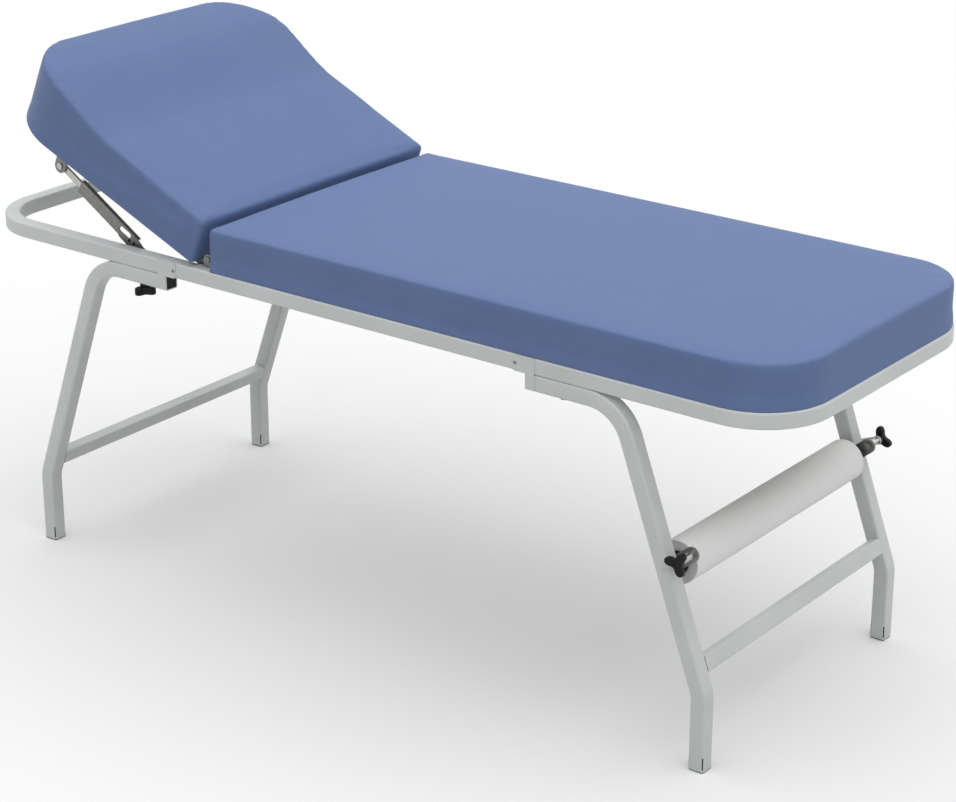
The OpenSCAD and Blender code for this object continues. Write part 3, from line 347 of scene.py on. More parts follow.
# The leg's middle line from the foot to the end of the level run, as x, z and the angle it has turned by.
def legLine():
    lean = math.radians(leg["lean"])
    mid = leg["reach"] - leg["tube"] / 2
    topX = mid - (leg["runZ"] - leg["lowBend"]) * math.tan(lean)
    lowTangent = leg["lowRadius"] * math.tan(lean / 2)
    highTangent = leg["highRadius"] * math.tan((math.pi / 2 - lean) / 2)
    start = leg["lowBend"] - lowTangent
    line = [(mid, leg["base"], 0.0)]
    for k in range(leg["lowSteps"] + 1):
        a = lean * k / leg["lowSteps"]
        line.append((mid - leg["lowRadius"] * (1 - math.cos(a)), start + leg["lowRadius"] * math.sin(a), a))
    bendX = topX + highTangent * math.sin(lean) - leg["highRadius"] * math.cos(lean)
    bendZ = leg["runZ"] - highTangent * math.cos(lean) - leg["highRadius"] * math.sin(lean)
    for k in range(leg["highSteps"] + 1):
        a = lean + (math.pi / 2 - lean) * k / leg["highSteps"]
        line.append((bendX + leg["highRadius"] * math.cos(a), bendZ + leg["highRadius"] * math.sin(a), a))
    line.append((leg["runEnd"], leg["runZ"], math.pi / 2))
    return line


def roundedSquare(width, edge):
    ring, flat = [], width / 2 - edge
    for quarter, (sx, sy) in enumerate(((1, 1), (-1, 1), (-1, -1), (1, -1))):
        for k in range(leg["edgeSteps"] + 1):
            a = math.pi / 2 * (quarter + k / leg["edgeSteps"])
            ring.append((sx * flat + edge * math.cos(a), sy * flat + edge * math.sin(a)))
    return ring


def sweptTube(line, end, side):
    outside = roundedSquare(leg["tube"], leg["edge"])
    inside = roundedSquare(leg["tube"] - 2 * leg["wall"], leg["edge"] - leg["wall"] / 2)
    size, count = len(outside), len(line)
    points = []
    for section in (outside, inside):
        for x, z, turn in line:
            for across, y in section:
                outX, outZ = across * math.cos(turn), across * math.sin(turn)
                points.append((end * (x + outX), side * leg["railY"] + y, z + outZ))
    skin = bridge(count, size)
    shift = count * size
    lining = [tuple(v + shift for v in reversed(f)) for f in skin]
    rims = []
    for base, flip in ((0, False), ((count - 1) * size, True)):
        for i in range(size):
            j = (i + 1) % size
            quad = (base + j, base + i, base + i + shift, base + j + shift)
            rims.append(tuple(reversed(quad)) if flip else quad)
    faces = skin + lining + rims
    return points, faces if end < 0 else [tuple(reversed(f)) for f in faces]


def boxFaces(start):
    return [tuple(start + v for v in f) for f in
            ((0, 1, 3, 2), (4, 6, 7, 5), (0, 4, 5, 1), (2, 3, 7, 6), (0, 2, 6, 4), (1, 5, 7, 3))]


# Four slabs for the slits and an upright cylinder for the hole, as one cutter.
def legCutter(end, side):
    points, faces = [], []
    footX, footY = end * (leg["reach"] - leg["tube"] / 2), side * leg["railY"]
    for turn in (45, 135, 225, 315):
        a = math.radians(turn)
        start = len(points)
        for out in leg["slitReach"]:
            for across in (-leg["slitWidth"] / 2, leg["slitWidth"] / 2):
                for z in (leg["slitFrom"], leg["slitFrom"] + leg["slitHeight"]):
                    points.append((footX + out * math.cos(a) - across * math.sin(a),
                                   footY + out * math.sin(a) + across * math.cos(a), z))
        faces += boxFaces(start)
    start, sides = len(points), leg["holeSides"]
    for z in (leg["runZ"] - leg["cutPast"], leg["runZ"] + leg["cutPast"]):
        for i in range(sides):
            a = 2 * math.pi * i / sides
            points.append((end * leg["holeAt"] + leg["hole"] * math.cos(a),
                           footY + leg["hole"] * math.sin(a), z))
    faces += bridge(2, sides, start)
    faces.append(tuple(reversed(range(start, start + sides))))
    faces.append(tuple(range(start + sides, start + 2 * sides)))
    return points, faces


def fixNormals(piece):
    work = bmesh.new()
    work.from_mesh(piece.data)
    bmesh.ops.recalc_face_normals(work, faces=work.faces)
    work.to_mesh(piece.data)
    work.free()


def cutWith(piece, points, faces):
    cutter = addPiece(piece.name + "_cutter", points, faces, piece.data.materials[:1])
    fixNormals(cutter)
    fixNormals(piece)
    cut = piece.modifiers.new("cut", "BOOLEAN")
    cut.operation, cut.solver, cut.object = "DIFFERENCE", "EXACT", cutter
    bakeModifiers(piece)
    bpy.data.objects.remove(cutter)


for end, endName in ((-1, "head"), (1, "foot")):
    for side, sideName in ((-1, "near"), (1, "far")):
        points, faces = sweptTube(legLine(), end, side)
        piece = addPiece(f"{endName}_{sideName}_tube_leg", points, faces, [looks["paint"]])
        cutWith(piece, *legCutter(end, side))
        smoothOver(piece.data, 30)
        settle(piece, "table_frame", "paint", f"{endName}_leg_{sideName}")
print("legs made")

# Three-lobed knobs, moulded with rounded edges and a dished face.
knobShape = {
    "hub": 10, "spread": 29.5, "power": 2.5, "round": 2.6, "roundSteps": 5, "steps": 120, "least": 8.2,
    "neck": 9, "neckChamfer": 0.6, "boreChamfer": 0.5, "dish": 7.6, "dishFlat": 3, "dishDepth": 1.2,
    "pole": 0.4,
}


def lobeReach(angle, reach):
    near = abs((math.degrees(angle) + 60) % 120 - 60)  # degrees to the middle of the nearest lobe
    fall = math.exp(-(near / knobShape["spread"]) ** knobShape["power"])
    return knobShape["hub"] + (reach - knobShape["hub"]) * fall


# Rings from the bottom of the bore, over the neck and the lobes, to the middle of the outer face.
def knobPoints(spec, place, turn):
    bore, depth, under, top = spec["bore"], spec["depth"], spec["hub"], spec["hub"] + spec["thick"]
    edge, neck, dish, pole = (knobShape[key] for key in ("round", "neck", "dish", "pole"))
    quarter = [math.pi / 2 * k / knobShape["roundSteps"] for k in range(knobShape["roundSteps"] + 1)]
    rings = [("round", pole, depth), ("round", bore - 0.05, depth), ("round", bore, depth - 0.4)]
    rings += [("round", bore, knobShape["boreChamfer"]), ("round", bore + knobShape["boreChamfer"], 0)]
    rings += [("round", neck - knobShape["neckChamfer"], 0), ("round", neck, knobShape["neckChamfer"])]
    rings += [("round", neck, under - 0.2), ("lobe", edge + 2.5, under)]
    rings += [("lobe", edge * (1 - math.sin(a)), under + edge * (1 - math.cos(a))) for a in quarter]
    rings += [("lobe", edge * (1 - math.cos(a)), top - edge * (1 - math.sin(a))) for a in quarter]
    rings += [("lobe", edge + 1.5, top), ("round", dish, top), ("round", dish - 0.4, top - 0.5)]
    rings += [("round", dish - 1, top - 1.1), ("round", knobShape["dishFlat"], top - knobShape["dishDepth"])]
    rings += [("round", pole, top - knobShape["dishDepth"])]
    points, size = [], knobShape["steps"]
    for kind, amount, height in rings:
        for i in range(size):
            a = 2 * math.pi * i / size
            r = amount if kind == "round" else max(lobeReach(a, spec["reach"]) - amount, knobShape["least"])
            points.append(place(r * math.cos(a + turn), r * math.sin(a + turn), height))
    faces = bridge(len(rings), size)
    faces.append(tuple(reversed(range(size))))
    faces.append(tuple(range((len(rings) - 1) * size, len(rings) * size)))
    return points, faces


def addKnob(name, spec, place, turn, body, node):
    points, faces = knobPoints(spec, place, math.radians(turn))
    piece = addPiece(name, points, faces, [looks["black_plastic"]], 40)
    fixNormals(piece)
    settle(piece, body, "black_plastic", node)


rollKnobs = {
    "reach": 23.5, "thick": 11, "hub": 5, "bore": 4.05, "depth": 11, "from": 330.8, "x": 741, "z": 383,
    "turn": {"near": 175, "far": 97},
}
for side, sideName in ((-1, "near"), (1, "far")):
    addKnob(f"{sideName}_roll_clamp_knob", rollKnobs,
            lambda u, v, h: (rollKnobs["x"] + u, side * (rollKnobs["from"] + h), rollKnobs["z"] + v),
            rollKnobs["turn"][sideName], f"{sideName}_roll_clamp", f"roll_knob_{sideName}")

legKnobs = {
    "reach": 22, "thick": 15, "hub": 8, "bore": 4.02, "depth": 16, "from": 609.7, "x": -489, "y": 312.5,
    "turn": 20,
}
for side, sideName in ((-1, "near"), (1, "far")):
    addKnob(f"{sideName}_leg_clamp_knob", legKnobs,
            lambda u, v, h: (legKnobs["x"] + u, side * legKnobs["y"] + v, legKnobs["from"] - h),
            legKnobs["turn"], f"{sideName}_leg_clamp", f"leg_knob_{sideName}")
print("knobs made")

# Paper roll: the wound sheet's spiral with its loose end laid down, and layered cut ends.
roll = {
    "x": 703, "z": 352, "radius": 39.5, "core": 21, "half": 279, "layer": 0.35, "tail": 205, "lip": 0.8,
    "uneven": 0.35, "wave": 0.12, "waveRate": 0.021, "around": 144, "rings": 9, "spans": 24,
}


def woundEdges():
    # Cut end of the wound paper: thin layers, seen as fine rings with small shadows.
    material, tree, place = newMaterial("wound_paper_edges")
    out = addNode(tree, "ShaderNodeVectorMath", {
        "operation": "SUBTRACT", 1: (roll["x"] * mm, 0, roll["z"] * mm)}, {0: place})
    flat = addNode(tree, "ShaderNodeVectorMath", {"operation": "MULTIPLY", 1: (1, 0, 1)}, {0: out})
    reach = addNode(tree, "ShaderNodeVectorMath", {"operation": "LENGTH"}, {0: flat}, "Value")
    layers = addNode(tree, "ShaderNodeTexNoise", {
        "noise_dimensions": "1D", "Scale": 1400.0}, {"W": reach})  # 0.7 mm, coarser than real, to show
    step = addNode(tree, "ShaderNodeMapRange", {"From Min": 0.3, "From Max": 0.7}, {"Value": layers})
    body = addNode(tree, "ShaderNodeMix", {
        "data_type": "RGBA", 6: linear("C4C6C6"), 7: linear("EEEEEC")}, {0: step}, 2)
    bump = addNode(tree, "ShaderNodeBump", {"Strength": 0.4, "Distance": 0.3 * mm}, {"Height": layers})
    return finishMaterial(material, {"Specular IOR Level": 0.1, "Roughness": 0.9}, {
        "Base Color": body, "Normal": bump})


# Rings from the core over one cut end, along the skin and back to the core over the other end.
def paperRoll():
    random.seed(7)
    around, rings, half, spans = roll["around"], roll["rings"], roll["half"], roll["spans"]
    offsets = [random.uniform(-roll["uneven"], roll["uneven"]) for _ in range(rings)]
    wound = roll["radius"] - roll["lip"] - roll["core"]
    stations = [(roll["core"] + wound * k / (rings - 1), -half + 0.5 + offsets[k]) for k in range(rings)]
    stations[0] = (roll["core"] + 0.05, -half + 1)
    lengths = [-half + 0.3, -half + 1.2] + [-half + 2 * half * k / spans for k in range(1, spans)]
    lengths += [half - 1.2, half - 0.3]
    stations += [(roll["radius"], y) for y in lengths]
    stations += [(r, -y) for r, y in reversed(stations[:rings])]
    points = []
    for reach, y in stations:
        loose = reach > roll["radius"] - 1
        for i in range(around):
            a = 2 * math.pi * i / around
            turn = (a - math.radians(roll["tail"])) % (2 * math.pi) / (2 * math.pi)
            lift = roll["layer"] * (1 - turn) if loose else 0
            wave = roll["wave"] * math.sin(y * roll["waveRate"] + 3 * a) if loose else 0
            r = min(reach - lift + wave, reach)
            points.append((roll["x"] + r * math.cos(a), y, roll["z"] + r * math.sin(a)))
    faces = bridge(len(stations), around)
    last = (len(stations) - 1) * around
    faces += [(last + i, last + (i + 1) % around, (i + 1) % around, i) for i in range(around)]
    kinds = []  # 1 is a cut end or the bore, 0 the skin
    for k in range(len(stations) - 1):
        kinds += [1 if k < rings - 1 or k >= len(stations) - rings else 0] * around
    return points, faces, kinds + [1] * around


points, faces, kinds = paperRoll()
piece = addPiece("wound_paper_roll", points, faces, [looks["paper"], woundEdges()], 50, kinds)
fixNormals(piece)
settle(piece, "roll", "paper", "paper_roll")
print("paper roll made")


# Cushions: a closed cover drawn a little small, blown up as cloth against its underside,
# then fitted over its board.
pad = {
    "edge": 7, "edgeSteps": 6, "crown": 3, "drawIn": 1.5, "hingeCorner": 9, "cornerSteps": 16, "below": 9,
    "foot": 28, "footBand": 12, "skirt": 6, "boardBack": 5.4, "boardThick": 15, "clearance": 0.3,
}
cover = {"quality": 5, "mass": 0.3, "stiffness": 15, "bending": 0.5, "frames": 20}
pillow = {"hinge": 93, "rise": 9.5, "from": 258, "height": 36.5, "slope": 203}
hingeEnd = {"foot": -314, "head": -345}  # x of each section's end at the hinge


def smoothStep(s):
    c = min(max(s, 0), 1)
    return c * c * (3 - 2 * c)


# The cover's height above its board along the head section: a slight rise, then the pillow.
def pillowTop(x):
    slope = smoothStep((x - pillow["from"]) / pillow["slope"])
    return pillow["hinge"] + pillow["rise"] * min(x / pillow["from"], 1) + pillow["height"] * slope


footPad = {
    "name": "foot_section_cushion", "length": 1242, "width": 655, "corner": 130, "low": 670.3, "board": 670,
    "tops": lambda x: 86.7, "voxel": 6, "pressure": 4, "cap": 2.4, "inset": 1.7,
    "place": lambda p: (p[0] + hingeEnd["foot"], p[1], p[2]), "along": lambda x: x - hingeEnd["foot"],
}
headPad = {
    "name": "head_section_cushion", "length": 545, "width": 658, "corner": 138, "low": 671, "board": 671,
    "tops": pillowTop, "voxel": 5.5, "pressure": 4, "cap": 2.4, "inset": 1.7,
    "place": lambda p: (hingeEnd["head"] - p[0], p[1], p[2]), "along": lambda x: hingeEnd["head"] - x,
}


def roundOff(radius, distance):
    if distance >= radius:
        return 0.0
    return radius - math.sqrt(max(radius ** 2 - (radius - distance) ** 2, 0))


# A section across the pad: level underside, side that leans out, rounded edge and crowned top.
def padRing(x, half, low, high):
    edge = min(pad["edge"], (high - low) / 2)
    flat, height, bottom = half - edge, high - low, low - pad["below"]
    right = [(half * 0.5, bottom), (half - pad["drawIn"], bottom), (half - pad["drawIn"], low + 3),
             (half - pad["drawIn"] * 0.3, low + height * 0.3), (half, low + height * 0.55)]
    for k in range(pad["edgeSteps"] + 1):
        a = math.pi / 2 * k / pad["edgeSteps"]
        right.append((flat + edge * math.cos(a), high - edge + edge * math.sin(a) - pad["crown"]))
    right += [(flat * s, high - pad["crown"] * s * s) for s in (0.9, 0.75, 0.6, 0.45, 0.3, 0.15)]
    ring = [(x, 0, bottom)] + [(x, y, z) for y, z in right] + [(x, 0, high)]
    return ring + [(x, -y, z) for y, z in reversed(right)]


# Rings along x from the hinge end to the free end, drawn smaller by the inset at the sides, ends and top.
def padForm(spec):
    inset = spec["inset"]
    length, corner = spec["length"] - 2 * inset, spec["corner"] - inset
    hingeCorner = pad["hingeCorner"] - inset * 0.5
    near = [hingeCorner * (1 - math.cos(math.radians(a))) for a in range(0, 91, 10)]
    bend = [corner * (1 - math.cos(math.radians(a))) for a in range(0, 91, 5)]
    far = [0, 2, 6] + [s for s in bend if s > 8]
    between = list(range(40, int(length - corner) - 10, 12))
    places = near + between + [length - s for s in reversed(far)]
    rings = []
    for x in places:
        half = spec["width"] / 2 - inset - roundOff(corner, length - x) - roundOff(hingeCorner, x)
        drop = max(roundOff(pad["edge"], x), roundOff(pad["edge"], length - x))
        top = spec["low"] + spec["tops"](x + inset) - inset - drop
        rings.append(padRing(x + inset, half, spec["low"], top))
    size = len(rings[0])
    points = [p for ring in rings for p in ring]
    faces = bridge(len(rings), size)
    for index, ring in ((0, rings[0]), (len(rings) - 1, rings[-1])):
        points.append((ring[0][0], 0, (ring[0][2] + ring[size // 2][2]) / 2))
        for i in range(size):
            a, b = index * size + i, index * size + (i + 1) % size
            faces.append((len(points) - 1, b, a) if index == 0 else (len(points) - 1, a, b))
    return points, faces


# The board's outline, square at the hinge end and round at the free end, grown by a clearance.
def boardOutline(spec, grow):
    skirt = pad["skirt"] - grow
    near = pad["skirt"] + pad["drawIn"] + pad["boardBack"] - grow
    length, half, corner = spec["length"], spec["width"] / 2, spec["corner"]
    outline = [(near, -half + skirt)]
    for first, side in ((-90, -1), (0, 1)):
        for k in range(pad["cornerSteps"] + 1):
            a = math.radians(first + 90 * k / pad["cornerSteps"])
            outline.append((length - corner + (corner - skirt) * math.cos(a),
                            side * (half - corner) + (corner - skirt) * math.sin(a)))
    outline.append((near, half - skirt))
    return outline


def prism(outline, low, high):
    size = len(outline)
    points = [(x, y, low) for x, y in outline] + [(x, y, high) for x, y in outline]
    return points, bridge(2, size) + [tuple(reversed(range(size))), tuple(range(size, 2 * size))]


# Blows the cover up and keeps each point's way short, so that the top crowns and the sides fill out.
def swell(piece, spec):
    rest = [v.co.copy() for v in piece.data.vertices]
    pins = piece.vertex_groups.new(name="pins")
    pins.add([i for i, co in enumerate(rest) if co.z < (spec["low"] + 2) * mm], 1.0, "REPLACE")
    cloth = piece.modifiers.new("cloth", "CLOTH")
    settings = cloth.settings
    settings.quality, settings.mass = cover["quality"], cover["mass"]
    settings.tension_stiffness = settings.compression_stiffness = cover["stiffness"]
    settings.bending_stiffness = cover["bending"]
    settings.use_pressure = True
    settings.uniform_pressure_force = spec["pressure"]
    settings.vertex_group_mass = "pins"
    settings.effector_weights.gravity = 0
    cloth.point_cache.frame_start, cloth.point_cache.frame_end = 1, cover["frames"]
    for step in range(1, cover["frames"] + 1):
        bpy.context.scene.frame_set(step)
    held = piece.evaluated_get(bpy.context.evaluated_depsgraph_get())
    swollen = [v.co.copy() for v in held.data.vertices]
    piece.modifiers.clear()
    cap, most = spec["cap"] * mm, 0.0
    for vertex, first, now in zip(piece.data.vertices, rest, swollen):
        way = now - first
        most = max(most, way.length)
        if way.length > 1e-9:
            vertex.co = first + way * (cap * math.tanh(way.length / cap) / way.length)
    bpy.context.scene.frame_set(1)
    print(piece.name, "swelled by up to", round(most / mm, 1), "mm before the cap")


# Brings the lower edge of the sides out to the real outline, where the cover is pulled under.
def fitFoot(piece, spec):
    for vertex in piece.data.vertices:
        x, y, z = (c / mm for c in vertex.co)
        x = spec["along"](x)
        share = smoothStep(1 - (z - spec["low"]) / pad["foot"])
        radius = spec["corner"] if x > spec["length"] / 2 else pad["hingeCorner"]
        innerX = min(max(x, radius), spec["length"] - radius)
        innerY = min(max(y, radius - spec["width"] / 2), spec["width"] / 2 - radius)
        out = Vector((x - innerX, y - innerY))
        if share <= 0 or out.length < max(radius - pad["footBand"], radius / 2):
            continue
        out *= 1 + (radius - pad["drawIn"] - out.length) / out.length * share
        vertex.co.x = spec["place"]((innerX + out.x, 0, 0))[0] * mm
        vertex.co.y = (innerY + out.y) * mm


def cushion(spec):
    points, faces = padForm(spec)
    piece = addPiece(spec["name"], [spec["place"](p) for p in points], faces, [looks["upholstery"]])
    fixNormals(piece)
    remesh = piece.modifiers.new("remesh", "REMESH")
    remesh.mode, remesh.voxel_size = "VOXEL", spec["voxel"] * mm
    even = piece.modifiers.new("even", "SMOOTH")
    even.factor, even.iterations = 0.5, 1
    bakeModifiers(piece)
    swell(piece, spec)
    fitFoot(piece, spec)
    finer = piece.modifiers.new("finer", "SUBSURF")
    finer.levels = finer.render_levels = 1
    bakeModifiers(piece)
    past, wide, deep = 20, 350, 30  # the slab that cuts the underside level is larger than the pad
    ends = [spec["place"]((x, 0, 0))[0] for x in (-past, spec["length"] + past)]
    slab = [(min(ends), -wide), (max(ends), -wide), (max(ends), wide), (min(ends), wide)]
    cutWith(piece, *prism(slab, spec["low"] - deep, spec["low"]))
    outline = [spec["place"]((x, y, 0))[:2] for x, y in boardOutline(spec, pad["clearance"])]
    pocketTop = spec["board"] + pad["boardThick"] + pad["clearance"]
    cutWith(piece, *prism(outline, spec["low"] - 12, pocketTop))
    smoothOver(piece.data, 50)
    return piece


footCushion = cushion(footPad)
settle(footCushion, "table_frame", "upholstery", "foot_cushion")
print("foot section's cushion made", len(footCushion.data.polygons), "faces")

pivot = Vector((hinge["x"] * mm, 0, hinge["z"] * mm))
tilt = (Matrix.Translation(pivot) @ Matrix.Rotation(math.radians(hinge["tilt"]), 4, "Y")
        @ Matrix.Translation(-pivot))
headCushion = cushion(headPad)
headCushion.data.transform(tilt)
headCushion.data.update()
settle(headCushion, "head_section", "upholstery", "head_cushion")
print("head section's cushion made", len(headCushion.data.polygons), "faces")


# The head section's cover is turned in under its board and stapled there.
hem = {
    "over": 3.5, "wide": 26, "thick": 0.55, "low": 671, "line": 15, "hingeSide": 13.2, "stop": 45,
    "firstStaple": 50,
}


def insetOutline(spec, amount):
    shrunk = dict(spec, length=spec["length"] - amount, width=spec["width"] - 2 * amount,
                  corner=spec["corner"] - amount)
    return [(max(x, hem["hingeSide"] + amount), y) for x, y in boardOutline(shrunk, 0)]


# The three sides away from the hinge, as one line whose ends stop short of it.
def threeSides(amount, stop):
    line = insetOutline(headPad, amount)[1:-1]
    return [(stop, line[0][1])] + line + [(stop, line[-1][1])]


def hemStrip():
    outer, inner = threeSides(-hem["over"], hem["stop"]), threeSides(hem["wide"], hem["stop"])
    size, under = len(outer), hem["low"] - hem["thick"]
    points = [(x, y, z) for z in (hem["low"], under) for line in (outer, inner) for x, y in line]
    faces = []
    for i in range(size - 1):
        a, b, c, d = i, i + size, i + 2 * size, i + 3 * size
        faces += [(a, a + 1, b + 1, b), (c, d, d + 1, c + 1), (a, c, c + 1, a + 1), (b, b + 1, d + 1, d)]
    for i in (0, size - 1):
        faces.append((i, i + size, i + 3 * size, i + 2 * size))
    return points, faces


points, faces = hemStrip()
piece = addPiece("turned_in_cover_hem", [headPad["place"](p) for p in points], faces, [looks["upholstery"]])
fixNormals(piece)
piece.data.transform(tilt)
piece.data.update()
settle(piece, "head_section", "upholstery")


def newTree(name, sockets):
    tree = bpy.data.node_groups.new(name, "GeometryNodeTree")
    for label, kind, value in sockets:
        socket = tree.interface.new_socket(label, in_out="INPUT", socket_type=kind)
        if value is not None:
            socket.default_value = value
    tree.interface.new_socket("Geometry", in_out="OUTPUT", socket_type="NodeSocketGeometry")
    taken = tree.nodes.new("NodeGroupInput").outputs
    return tree, {label: taken[label] for label, kind, value in sockets}


def closeTree(tree, instances, material):
    real = addNode(tree, "GeometryNodeRealizeInstances", {}, {"Geometry": instances})
    shown = addNode(tree, "GeometryNodeSetMaterial", {}, {"Geometry": real, "Material": material})
    addNode(tree, "NodeGroupOutput", {}, {"Geometry": shown})


# Runs a tree on an object once, with its inputs set by their identifiers, and leaves a plain mesh.
def runTree(piece, tree, values):
    made = piece.modifiers.new(tree.name, "NODES")
    made.node_group = tree
    for item in tree.interface.items_tree:
        if item.in_out == "INPUT" and item.name in values:
            made[item.identifier] = values[item.name]
    bakeModifiers(piece)
    smoothOver(piece.data, 30)


# Wire crowns along the line at even steps, each a little askew by chance.
def stapleTree():
    tree, given = newTree("staples_along_a_line", (
        ("Geometry", "NodeSocketGeometry", None), ("Pitch", "NodeSocketFloat", 0.03),
        ("Crown", "NodeSocketFloat", 0.01), ("Wire", "NodeSocketFloat", 0.001),
        ("Skew", "NodeSocketFloat", 0.2), ("Seed", "NodeSocketInt", 3),
        ("Material", "NodeSocketMaterial", None)))
    line = addNode(tree, "GeometryNodeMeshToCurve", {}, {"Mesh": given["Geometry"]})
    spots = addNode(tree, "GeometryNodeResampleCurve", {"mode": "LENGTH"}, {
        "Curve": line, "Length": given["Pitch"]})
    wire = addNode(tree, "GeometryNodeMeshCylinder", {"Vertices": 8}, {
        "Radius": given["Wire"], "Depth": given["Crown"]})
    crown = addNode(tree, "GeometryNodeTransform", {"Rotation": (0, math.pi / 2, 0)}, {"Geometry": wire})
    tangent = addNode(tree, "GeometryNodeInputTangent")
    laid = addNode(tree, "FunctionNodeAlignRotationToVector", {"axis": "X"}, {"Vector": tangent})
    low = addNode(tree, "ShaderNodeMath", {"operation": "MULTIPLY", 1: -1.0}, {0: given["Skew"]})
    chance = addNode(tree, "FunctionNodeRandomValue", {"data_type": "FLOAT"}, {
        2: low, 3: given["Skew"], "Seed": given["Seed"]}, 1)
    spin = addNode(tree, "FunctionNodeAxisAngleToRotation", {"Axis": (0, 0, 1)}, {"Angle": chance})
    turned = addNode(tree, "FunctionNodeRotateRotation", {"rotation_space": "LOCAL"}, {0: laid, 1: spin})
    placed = addNode(tree, "GeometryNodeInstanceOnPoints", {}, {
        "Points": spots, "Instance": crown, "Rotation": turned})
    closeTree(tree, placed, given["Material"])
    return tree


# A domed head with a hex socket on a plain shank at each point, turned to the point's facing.
def screwTree():
    tree, given = newTree("button_head_screws", (
        ("Geometry", "NodeSocketGeometry", None), ("Head radius", "NodeSocketFloat", 0.005),
        ("Head height", "NodeSocketFloat", 0.003), ("Socket radius", "NodeSocketFloat", 0.002),
        ("Shank radius", "NodeSocketFloat", 0.0025), ("Shank length", "NodeSocketFloat", 0.02),
        ("Seed", "NodeSocketInt", 5), ("Material", "NodeSocketMaterial", None)))
    ball = addNode(tree, "GeometryNodeMeshUVSphere", {"Segments": 32, "Rings": 16, "Radius": 1.0})
    size = addNode(tree, "ShaderNodeCombineXYZ", {}, {
        "X": given["Head radius"], "Y": given["Head radius"], "Z": given["Head height"]})
    dome = addNode(tree, "GeometryNodeTransform", {}, {"Geometry": ball, "Scale": size})
    under = addNode(tree, "GeometryNodeMeshCube", {"Size": (0.04, 0.04, 0.04)})
    under = addNode(tree, "GeometryNodeTransform", {"Translation": (0, 0, -0.02)}, {"Geometry": under})
    socket = addNode(tree, "GeometryNodeMeshCylinder", {"Vertices": 6}, {
        "Radius": given["Socket radius"], "Depth": given["Head height"]})
    lift = addNode(tree, "ShaderNodeMath", {"operation": "MULTIPLY", 1: 0.95}, {0: given["Head height"]})
    lift = addNode(tree, "ShaderNodeCombineXYZ", {}, {"Z": lift})
    socket = addNode(tree, "GeometryNodeTransform", {}, {"Geometry": socket, "Translation": lift})
    cut = {"operation": "DIFFERENCE", "solver": "EXACT"}
    head = addNode(tree, "GeometryNodeMeshBoolean", cut, {0: dome, 1: under})
    head = addNode(tree, "GeometryNodeMeshBoolean", cut, {0: head, 1: socket})
    shank = addNode(tree, "GeometryNodeMeshCylinder", {"Vertices": 20}, {
        "Radius": given["Shank radius"], "Depth": given["Shank length"]})
    down = addNode(tree, "ShaderNodeMath", {"operation": "MULTIPLY", 1: -0.5}, {0: given["Shank length"]})
    down = addNode(tree, "ShaderNodeCombineXYZ", {}, {"Z": down})
    shank = addNode(tree, "GeometryNodeTransform", {}, {"Geometry": shank, "Translation": down})
    screw = addNode(tree, "GeometryNodeJoinGeometry", {}, {"Geometry": head})
    tree.links.new(shank, screw.node.inputs["Geometry"])
    facing = addNode(tree, "GeometryNodeInputNamedAttribute", {
        "data_type": "FLOAT_VECTOR", "Name": "facing"})
    aimed = addNode(tree, "FunctionNodeAlignRotationToVector", {"axis": "Z"}, {"Vector": facing})
    chance = addNode(tree, "FunctionNodeRandomValue", {
        "data_type": "FLOAT", 2: 0.0, 3: 6.28}, {"Seed": given["Seed"]}, 1)
    spin = addNode(tree, "FunctionNodeAxisAngleToRotation", {"Axis": (0, 0, 1)}, {"Angle": chance})
    turned = addNode(tree, "FunctionNodeRotateRotation", {"rotation_space": "LOCAL"}, {0: aimed, 1: spin})
    placed = addNode(tree, "GeometryNodeInstanceOnPoints", {}, {
        "Points": given["Geometry"], "Instance": screw, "Rotation": turned})
    closeTree(tree, placed, given["Material"])
    return tree


staple = {
    "Pitch": 34 * mm, "Crown": 11 * mm, "Wire": 0.3 * mm, "Skew": 0.25, "Seed": 3, "Material": looks["zinc"],
}
line = [(x, y, hem["low"] - hem["thick"]) for x, y in threeSides(hem["line"], hem["firstStaple"])]
staples = addPiece("cover_staples", [headPad["place"](p) for p in line], [], [])
staples.data.edges.add(len(line) - 1)
staples.data.edges.foreach_set("vertices", [v for i in range(len(line) - 1) for v in (i, i + 1)])
runTree(staples, stapleTree(), staple)
staples.data.transform(tilt)
staples.data.update()
settle(staples, "head_section", "zinc")
print("hem and staples made", len(staples.data.polygons), "faces")

screws = screwTree()


def screwSet(name, spots, facing, values, body, node, turn=None):
    piece = addPiece(name, spots, [], [])
    aim = piece.data.attributes.new("facing", "FLOAT_VECTOR", "POINT")
    aim.data.foreach_set("vector", [c for f in facing for c in f])
    runTree(piece, screws, dict(values, Material=looks["zinc"]))
    if turn:
        piece.data.transform(turn)
        piece.data.update()
    settle(piece, body, "zinc", node)


tabScrew = {
    "Head radius": 3.5 * mm, "Head height": 1.4 * mm, "Socket radius": 2.0 * mm, "Shank radius": 2.45 * mm,
    "Shank length": 6.4 * mm, "Seed": 5,
}
tabSpot = {"x": 397, "y": 329, "z": 655}
corners = [(s, t) for s in (-1, 1) for t in (-1, 1)]
screwSet("tab_screws_with_sockets", [(s * tabSpot["x"], t * tabSpot["y"], tabSpot["z"]) for s, t in corners],
         [(0, t, 0) for s, t in corners], tabScrew, "table_frame", "tab_screws")

